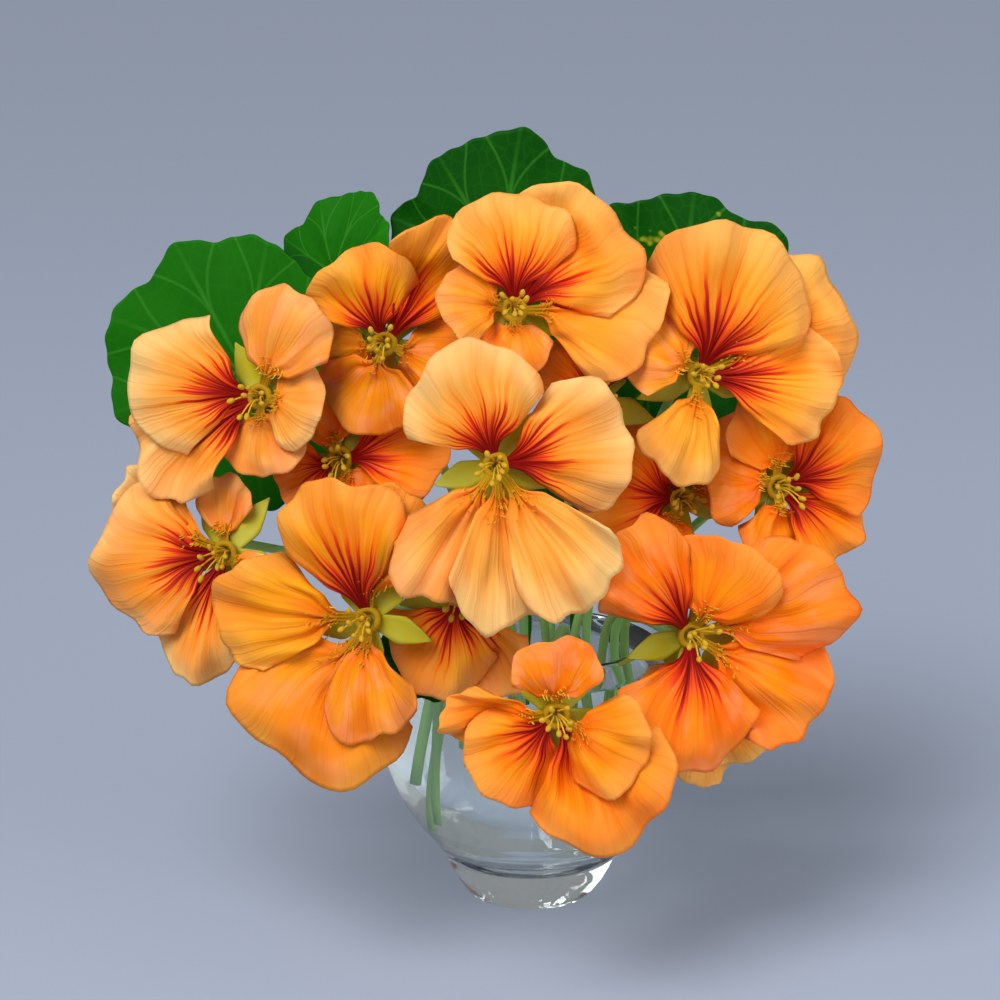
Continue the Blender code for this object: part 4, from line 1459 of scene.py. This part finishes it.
@dataclass(frozen=True)
class Stamens:
    """The stamens in a throat, and the fringes on the claws of the lower petals."""

    count: int = 8
    spacing: Pair = (0.2, 0.8)
    lean: Pair = (0.12, 0.34)
    length: Pair = (8.5, 13.5)
    set_back: float = 0.8
    foot_lean: float = 2.6
    bend_at: float = 0.55
    bend_lean: float = 0.6
    bend_up: float = 0.5
    tip_lean: float = 1.1
    tip_down: float = 0.6
    thread_radii: Pair = (0.34, 0.2)
    thread_steps: int = 4
    thread_sides: int = 6
    thread_warmth: float = 0.25
    knob_lean: float = 2.0
    knob_out: float = 0.6
    knob_tilt: float = 0.5
    knob: tuple[Pair, ...] = (  # place along it and radius
        (-1.2, 0.15), (-0.8, 0.62), (0.0, 0.8), (0.8, 0.62), (1.2, 0.15),
    )
    knob_sides: int = 8
    hairs: int = 22
    hair_along: Pair = (0.14, 0.36)
    hair_across: float = 0.95
    hair_step: float = 0.03
    hair_spread: float = 1.7
    hair_lean: float = 0.35
    hair_length: Pair = (1.8, 3.6)
    hair_bend_at: float = 0.45
    hair_bow: float = 1.0 / 6.0
    hair_radii: Pair = (0.26, 0.08)
    hair_steps: int = 2
    hair_sides: int = 4

    def build_stamens(self, bloom: Bloom, draw: np.random.Generator) -> list[Thing]:
        """Model the threads and the knobs at their tips.

        Args:
            bloom: The bloom that they belong to.
            draw: The random draw.

        Returns:
            The threads and the knobs.
        """
        right, up, outward = facing(*bloom.faces)
        threads, knobs = [], []
        steps, radii = zip(*self.knob)
        for k in range(self.count):
            turn = 2.0 * math.pi * (k + draw.uniform(*self.spacing)) / self.count
            lean = draw.uniform(*self.lean) * (math.cos(turn) * right + math.sin(turn) * up)
            length = draw.uniform(*self.length)
            foot = bloom.cup_front - self.set_back * outward + self.foot_lean * lean
            bend = foot + length * self.bend_at * (
                outward + self.bend_lean * lean) + self.bend_up * up
            tip = foot + length * (outward + self.tip_lean * lean) - self.tip_down * up
            threads.append(smooth_route([foot, bend, tip], self.thread_steps))
            tilt = draw.uniform(-self.knob_tilt, self.knob_tilt)
            along = Vector(
                lean * self.knob_lean + outward * self.knob_out + up * tilt).normalized()
            knobs.append([Vector(tip) + along * step for step in steps])
        thin = self.build_hairs(
            f"{bloom.name}_threads", threads, self.thread_radii, self.thread_sides)
        mark(thin, warm=self.thread_warmth)
        thick = bars(f"{bloom.name}_anthers", knobs, [radii] * self.count, self.knob_sides)
        mark(thick, warm=1.0)
        return [thin, thick]

    def build_fringes(self, bloom: Bloom, draw: np.random.Generator) -> list[Thing]:
        """Model the fringes on the claws of the lower petals.

        Args:
            bloom: The bloom that they belong to.
            draw: The random draw.

        Returns:
            The fringes, or nothing where the bloom has no lower petal.
        """
        outward = facing(*bloom.faces)[2]
        hairs = []
        for k, petal in enumerate(bloom.petals):
            if petal.upper:
                continue
            u = draw.uniform(*self.hair_along, self.hairs)
            v = draw.uniform(-self.hair_across, self.hair_across, self.hairs)
            feet = bloom.blade_points(k, u, v)
            tips = bloom.blade_points(k, u + self.hair_step, v * self.hair_spread)
            for foot, tip in zip(feet, tips):
                end = foot + self.hair_lean * (tip - foot) + draw.uniform(
                    *self.hair_length) * outward
                bend = foot + self.hair_bend_at * (end - foot) + self.hair_bow * (tip - foot)
                hairs.append(smooth_route([foot, bend, end], self.hair_steps))
        if not hairs:
            return []
        fringe = self.build_hairs(
            f"{bloom.name}_fringe", hairs, self.hair_radii, self.hair_sides)
        mark(fringe, warm=0.0)
        return [fringe]

    @staticmethod
    def build_hairs(name: str, routes: list, radii: Pair, sides: int) -> Thing:
        """Model bars whose radius goes from that of their foot to that of their tip."""
        return bars(name, routes, [np.linspace(*radii, len(route)) for route in routes], sides)

    def build(self, bloom: Bloom, dresser: Dresser) -> None:
        """Model and dress the stamens and fringes of a bloom.

        Args:
            bloom: The bloom.
            dresser: The materials.
        """
        draw = bloom.draw(STAMEN_DRAW)
        parts = self.build_stamens(bloom, draw) + self.build_fringes(bloom, draw)
        whole = join(parts, f"{bloom.name}_stamens")
        dress(whole, dresser.stamens, "petal_golden")


@dataclass
class Leaf:
    """One shield leaf: its middle, the way it faces, its size and its stalk."""

    middle: Triple
    faces: Pair
    radius: float
    roll: float
    fold: float
    mouth: Pair
    foot: float
    in_front: bool = False
    number: int = 0

    def surface(self, part: np.ndarray, turn: np.ndarray, lobed: bool = False) -> np.ndarray:
        """Points of the blade.

        Args:
            part: Places from the middle, 0, to the margin, 1.
            turn: Directions in radians.
            lobed: Whether the margin gets its uneven lobes.

        Returns:
            One point for each pair.
        """
        right, up, outward = facing(*self.faces)
        ribs = np.cos(LEAF_RIBS * turn)
        radius = self.radius * part * (1.0 + part * part * LEAF_SCALLOP * ribs)
        radius = radius * (1.0 + LEAF_OVAL * part * np.cos(2.0 * turn + self.roll))
        if lobed:
            draws = np.random.default_rng(LEAF_DRAW + self.number).uniform(0.0, 2.0 * math.pi, 3)
            radius = radius * (1.0 + part ** 3 * waves(LEAF_LOBES, turn, draws))
        x, y = radius * np.cos(turn), radius * np.sin(turn)
        plain, ribbed = LEAF_RELIEF
        lift = part * (plain + ribbed * ribs) + LEAF_WAVE * part * part * np.sin(3.0 * turn)
        lift = lift - LEAF_DIMPLE * (1.0 - smoothstep(part, 0.0, LEAF_DIMPLE_PART))
        slant = math.radians(self.roll)
        over = x * math.cos(slant) + y * math.sin(slant)
        lift = lift + self.fold * over * over / self.radius
        return (np.array(self.middle, dtype=float) + x[:, None] * right + y[:, None] * up
                + lift[:, None] * outward)

    def shift(self, crowd: Crowd, part: np.ndarray, turn: np.ndarray) -> np.ndarray:
        """How far back each point of the blade goes to stand clear of the crowd.

        Args:
            crowd: What stands in front of it, which it then joins.
            part: Places from the middle, 0, to the margin, 1.
            turn: Directions in radians.

        Returns:
            One shift for each point.
        """
        sectors = 2 * LEAF_RIBS
        turns = np.linspace(0.0, 2.0 * math.pi, sectors, endpoint=False)
        shifts, plain = [], []
        for ring in range(LEAF_PLAIN_RINGS + 1):
            points = self.surface(np.full(sectors, ring / LEAF_PLAIN_RINGS), turns)
            shifts.append(np.array([crowd.push(point, LEAF_REACH) for point in points]))
            points[:, 1] += shifts[-1]
            plain.append(points)
        flat = [plain[0][0], *plain[1], *plain[2]]
        faces = [(0, 1 + k, 1 + (k + 1) % sectors) for k in range(sectors)]
        faces += [(1 + k, 1 + sectors + k, 1 + sectors + (k + 1) % sectors, 1 + (k + 1) % sectors)
                  for k in range(sectors)]
        crowd.add(np.array(flat), faces)
        table = np.array(shifts)
        around = np.mod(turn, 2.0 * math.pi) / (2.0 * math.pi) * sectors
        first = np.floor(around).astype(int)
        ease = smoothstep(around - first)
        spokes = table[:, first % sectors] * (1.0 - ease) + table[:, (first + 1) % sectors] * ease
        place = np.clip(part, 0.0, 1.0) * LEAF_PLAIN_RINGS
        inner = np.minimum(place.astype(int), LEAF_PLAIN_RINGS - 1)
        share = place - inner
        each = np.arange(len(part))
        return spokes[inner, each] * (1.0 - share) + spokes[inner + 1, each] * share

    def build(self, crowd: Crowd, dresser: Dresser) -> None:
        """Model and dress the blade and its stalk.

        Args:
            crowd: What stands in front of it, which it then joins.
            dresser: The materials.
        """
        name = f"leaf_{self.number}_blade"
        sheet, t, w = new_sheet(name, LEAF_CELLS, LEAF_CELLS)
        y, x = 2.0 * t - 1.0, w
        x, y = x * np.sqrt(1.0 - y * y / 2.0), y * np.sqrt(1.0 - x * x / 2.0)
        part, turn = np.hypot(x, y), np.arctan2(y, x)
        points = self.surface(part, turn, lobed=True)
        points[:, 1] += self.shift(crowd, part, turn)
        # its lightness: partly its own green, partly painted shade on the leaves that stand in
        # shadow
        light = np.full(len(x), LEAF_LIGHT.get(self.number, DARK_AND_SHADED_LEAF_LIGHT))
        if self.number == PALE_EDGE_LEAF:
            light = light + PALE_EDGE_LIGHT * smoothstep(x, *PALE_EDGE)
        mark(sheet, light=light, blotch=1.0 if self.number == BLOTCHED_LEAF else 0.0)
        corners = np.zeros(len(sheet.data.loops), dtype=np.int32)
        sheet.data.loops.foreach_get("vertex_index", corners)
        places = np.stack((x, y), axis=1)[corners] / 2.0 + 0.5
        sheet.data.uv_layers["UVMap"].uv.foreach_set("vector", places.ravel())
        middle = points[np.argmin(part)].copy()
        shape_sheet(sheet, points, LEAF_THICK)
        knots = stalk_knots(middle, -facing(*self.faces)[2], self.mouth, self.foot)
        stem = build_stem(f"{name}_stem", knots)
        mark(stem, light=1.0, blotch=0.0)
        whole = join([sheet, stem], name)
        dress(whole, dresser.leaf, "leaf", f"leaf_{self.number}")


BLOOMS = (
    # the lowest one, which hangs in front of the vase
    Bloom((6, -80, 84), (6, 8), Tone.ORANGE, (
        Petal(330, 27, 24, lift=58, curl=-60, fold=-0.5),
        Petal(303, 38, 34, upper=True), Petal(222, 27, 26, upper=True),
        Petal(178, 31, 14, fold=0.3), Petal(92, 21, 26),
    ), (10, -27), 40),
    # the large one in the middle
    Bloom((-10, -58, 147), (0, 14), Tone.CREAM, (
        Petal(305, 46, 24), Petal(273, 44, 23), Petal(238, 41, 23, fold=-0.4),
        Petal(110, 33, 32, upper=True), Petal(14, 37, 29, upper=True),
    ), (4, -14), 46),
    # low on the right
    Bloom((43, -58, 99), (14, 12), Tone.ORANGE, (
        Petal(127, 37, 25, upper=True), Petal(258, 36, 32, upper=True),
        Petal(67, 31, 34, lift=62, curl=-62), Petal(17, 44, 29), Petal(324, 41, 27),
    ), (21, -20), 22, spur_turn=-60),
    # low on the left
    Bloom((-45, -56, 103), (-14, 10), Tone.GOLDEN, (
        Petal(280, 34, 23, lift=55), Petal(178, 42, 26), Petal(247, 46, 42),
        Petal(104, 40, 29, upper=True), Petal(82, 36, 22, lift=30),
    ), (-24, -17), 30, spur_turn=-70),
    # top, in the middle
    Bloom((-5, -28, 183), (4, 24), Tone.APRICOT, (
        Petal(93, 31, 28, upper=True), Petal(42, 38, 34, upper=True),
        Petal(172, 20, 20), Petal(268, 18, 24), Petal(352, 40, 30),
    ), (-2, 8), 52),
    # top, on the right
    Bloom((46, -30, 165), (14, 14), Tone.APRICOT, (
        Petal(70, 42, 42, upper=True), Petal(350, 38, 26, upper=True),
        Petal(22, 47, 34, lift=28), Petal(145, 23, 25), Petal(250, 30, 20),
    ), (17, 4), 40, spur_turn=110),
    # top, on the left
    Bloom((-76, -22, 157), (-18, 12), Tone.CREAM, (
        Petal(174, 36, 32, upper=True), Petal(219, 40, 25, upper=True),
        Petal(70, 30, 24, lift=30), Petal(350, 20, 20), Petal(285, 22, 20),
    ), (-22, 2), 38),
    # left, half way down
    Bloom((-86, -32, 114), (-20, 6), Tone.CREAM, (
        Petal(190, 36, 36, upper=True), Petal(258, 35, 24, upper=True),
        Petal(151, 34, 18, fold=0.4), Petal(88, 19, 14), Petal(338, 15, 9),
    ), (-22, -9), 26),
    # right, half way down
    Bloom((69, -26, 132), (20, 8), Tone.ORANGE, (
        Petal(27, 30, 29, upper=True), Petal(313, 27, 19, upper=True),
        Petal(101, 25, 24), Petal(160, 25, 24), Petal(258, 22, 18),
    ), (25, -8), 48),
    # top, left of the middle
    Bloom((-41, -24, 172), (-6, 16), Tone.GOLDEN, (
        Petal(113, 27, 29, upper=True), Petal(52, 38, 25, upper=True),
        Petal(257, 27, 25), Petal(338, 24, 20), Petal(205, 17, 16),
    ), (-12, 8), 44, spur_turn=-120),
    # under the large one
    Bloom((-20, -50, 108), (0, -6), Tone.APRICOT, (
        Petal(250, 28, 26, upper=True), Petal(289, 30, 24, upper=True),
        Petal(30, 14, 16),
    ), (-5, -24), 50, spur_turn=80, cells=3),
    # behind the large one, on the right
    Bloom((18, -34, 157), (6, 16), Tone.ORANGE, (
        Petal(73, 29, 29, upper=True), Petal(140, 17, 18, upper=True),
        Petal(250, 14, 14),
    ), (6, -3), 54, cells=3),
    # behind the large one, on the left
    Bloom((-54, -34, 138), (-10, 10), Tone.ORANGE, (
        Petal(12, 32, 24, upper=True), Petal(205, 18, 18, upper=True),
        Petal(110, 15, 16), Petal(300, 15, 16),
    ), (-13, -11), 46, cells=3),
    # behind the ones on the right
    Bloom((42, -37, 127), (8, 12), Tone.ORANGE, (
        Petal(165, 30, 28, upper=True), Petal(100, 21, 28, upper=True),
        Petal(20, 15, 18), Petal(240, 20, 22),
    ), (13, -12), 52, cells=3),
    # the lowest one behind, on the right
    Bloom((47, -40, 77), (16, 0), Tone.APRICOT, (
        Petal(318, 25, 25, upper=True), Petal(268, 26, 17, upper=True),
        Petal(175, 18, 18), Petal(30, 20, 18),
    ), (27, -14), 50, spur_turn=75, cells=3),
)

LEAVES = (
    Leaf((-29, -43, 87), (-8, -4), 13, 0, 0.10, (-14, -24), 56, in_front=True),
    Leaf((-84, 18, 155), (-10, 8), 39, 20, 0.10, (-25, 13), 46),
    Leaf((-57, 18, 183), (-48, 6), 24, 80, -0.25, (-14, 18), 50),
    Leaf((-9, 24, 187), (8, 12), 34, 60, 0.12, (-1, 24), 54),
    Leaf((43, 20, 168), (12, 14), 37, 10, 0.15, (14, 22), 50),
    Leaf((68, 16, 153), (30, 6), 25, 0, 0.10, (25, 12), 56),
    Leaf((4, 10, 122), (0, 10), 14, 30, 0.05, (6, 17), 58),
)


@dataclass(frozen=True)
class Vase:
    """The round glass and the water in it."""

    sides: int = 96
    steps: int = 6
    rim_steps: int = 7

    def turn(self, name: str, profile: list[Pair]) -> Thing:
        """Turn a profile of radius and height into a closed solid.

        Args:
            name: The object's name.
            profile: Its places, from the axis round to the axis.

        Returns:
            The object.
        """
        mesh = bpy.data.meshes.new(name)
        mesh.from_pydata([(x * MM, 0.0, z * MM) for x, z in profile],
                         [(k, k + 1) for k in range(len(profile) - 1)], [])
        thing = start_mesh(name, mesh)
        screw = thing.modifiers.new("turn", "SCREW")
        screw.steps = screw.render_steps = self.sides
        screw.use_merge_vertices = True
        screw.merge_threshold = WELD * MM
        apply_all(thing)
        turn_outwards(weld=False)
        bpy.ops.object.shade_smooth_by_angle(angle=math.radians(SHARP_GLASS))
        return thing

    def rounded(self, steps: tuple[Pair, ...]) -> list[Pair]:
        """A smooth line through steps of radius and height."""
        route = smooth_route([(radius, 0.0, height) for radius, height in steps], self.steps)
        return [(point.x, point.z) for point in route]

    def wall(self, inset: float, low: float, high: float) -> list[Pair]:
        """Radius and height down the belly, set in from the outside, from high to low."""
        belly = self.rounded(VASE_OUTSIDE[2:])
        return [(x - inset, z) for x, z in reversed(belly) if low <= z <= high]

    def build(self, dresser: Dresser) -> None:
        """Model and dress the glass and the water.

        Args:
            dresser: The materials.
        """
        floor = self.rounded(VASE_FLOOR)
        inside = self.wall(VASE_WALL, WALL_FROM, VASE_HEIGHT - RIM_RISE)
        half = VASE_WALL / 2
        rim = [(VASE_OUTSIDE[-1][0] - half + half * math.cos(turn),
                VASE_HEIGHT - RIM_RISE + RIM_RISE * math.sin(turn))
               for turn in np.linspace(math.pi, 0.0, self.rim_steps)[1:-1]]
        outside = self.wall(0.0, 0.0, VASE_HEIGHT)
        glass = self.turn(
            "vase_glass", [*floor, *reversed(inside), *rim, *outside, *VASE_UNDERSIDE])
        dress(glass, dresser.glass, "glass", "vase")
        side = self.wall(VASE_WALL - WATER_BITE, WALL_FROM, WATER_TOP - WATER_UNDER_EDGE)
        surface = [(side[0][0] - inward, WATER_TOP + up) for inward, up in WATER_EDGE]
        bed = [(x, z - WATER_BITE) for x, z in reversed(floor)]
        water = self.turn("vase_water", [(0.0, WATER_TOP), *surface, *side, *bed])
        dress(water, dresser.water, "water", "water")


@dataclass(frozen=True)
class Lamp:
    """One soft lamp: its place and the side of its face in metres, and its power in watts."""

    name: str
    place: Triple
    size: float
    power: float

    def build(self) -> None:
        """Add the lamp, turned to the bunch."""
        bpy.ops.object.select_all(action="DESELECT")
        bpy.ops.object.light_add(type="AREA", location=self.place)
        lamp = bpy.context.object
        lamp.name = self.name
        lamp.data.size = self.size
        lamp.data.energy = self.power
        way = Vector(AIM) * MM - Vector(self.place)
        lamp.rotation_euler = way.to_track_quat("-Z", "Y").to_euler()


@dataclass(frozen=True)
class Studio:
    """Floor, soft light and camera. Its sizes are in metres."""

    floor_size: float = 200.0
    lamps: tuple[Lamp, ...] = (
        Lamp("key_light", (-0.55, -0.95, 1.05), 0.8, 8.8),
        Lamp("fill_light", (1.0, -0.8, 0.5), 1.0, 7.5),
    )
    sun_height: float = 2.0
    sun_strength: float = 1.5
    sun_spread: float = 36.0
    sun_tilt: float = 35.0
    sun_turn: float = -35.0
    sky: Triple = (0.92, 0.95, 1.0)
    sky_strength: float = 0.28

    def build(self, dresser: Dresser) -> None:
        """Put up the floor, the lamps and the camera.

        Args:
            dresser: The materials.
        """
        bpy.ops.object.select_all(action="DESELECT")
        bpy.ops.mesh.primitive_plane_add(size=self.floor_size)
        floor = bpy.context.object
        floor.name = "floor"
        floor.data.materials.append(dresser.floor)
        for lamp in self.lamps:
            lamp.build()
        self.build_sky()
        self.build_camera()

    def build_sky(self) -> None:
        """Add the high light and the light from all round."""
        bpy.ops.object.light_add(type="SUN", location=(0.0, 0.0, self.sun_height))
        sun = bpy.context.object
        sun.name = "high_light"
        sun.data.energy = self.sun_strength
        sun.data.angle = math.radians(self.sun_spread)
        sun.rotation_euler = (math.radians(self.sun_tilt), 0.0, math.radians(self.sun_turn))
        world = bpy.data.worlds.new("studio")
        world.use_nodes = True
        sky = world.node_tree.nodes["Background"]
        sky.inputs["Color"].default_value = (*self.sky, 1.0)
        sky.inputs["Strength"].default_value = self.sky_strength
        bpy.context.scene.world = world
        bpy.context.scene.view_settings.view_transform = "Standard"

    @staticmethod
    def build_camera() -> None:
        """Add the camera at the photograph's viewing angle."""
        tilt = math.radians(CAMERA_ELEVATION)
        way = Vector((0.0, -math.cos(tilt), math.sin(tilt)))
        place = (Vector(AIM) + way * CAMERA_DISTANCE) * MM
        bpy.ops.object.camera_add(location=place)
        camera = bpy.context.object
        camera.rotation_euler = (-way).to_track_quat("-Z", "Y").to_euler()
        camera.data.lens = LENS
        camera.data.sensor_width = SENSOR
        camera.data.clip_start = NEAREST_SEEN * MM
        camera.data.dof.use_dof = False
        bpy.context.scene.camera = camera


def main() -> None:
    """Build every piece in order."""
    logging.basicConfig(level=logging.INFO, format="%(name)s: %(message)s")
    dresser = Dresser()
    crowd = Crowd()
    for number, bloom in enumerate(BLOOMS, 1):
        bloom.number = number
        bloom.place(crowd)
    for number, leaf in enumerate(LEAVES, 1):
        leaf.number = number
        if leaf.in_front:
            leaf.build(crowd, dresser)
    for bloom in BLOOMS:
        bloom.build_petals(dresser)
        bloom.build_stalk(crowd, dresser)
        Stamens().build(bloom, dresser)
    for leaf in (leaf for leaf in LEAVES if not leaf.in_front):
        leaf.build(crowd, dresser)
    Vase().build(dresser)
    Studio().build(dresser)


if __name__ == "__main__":
    main()
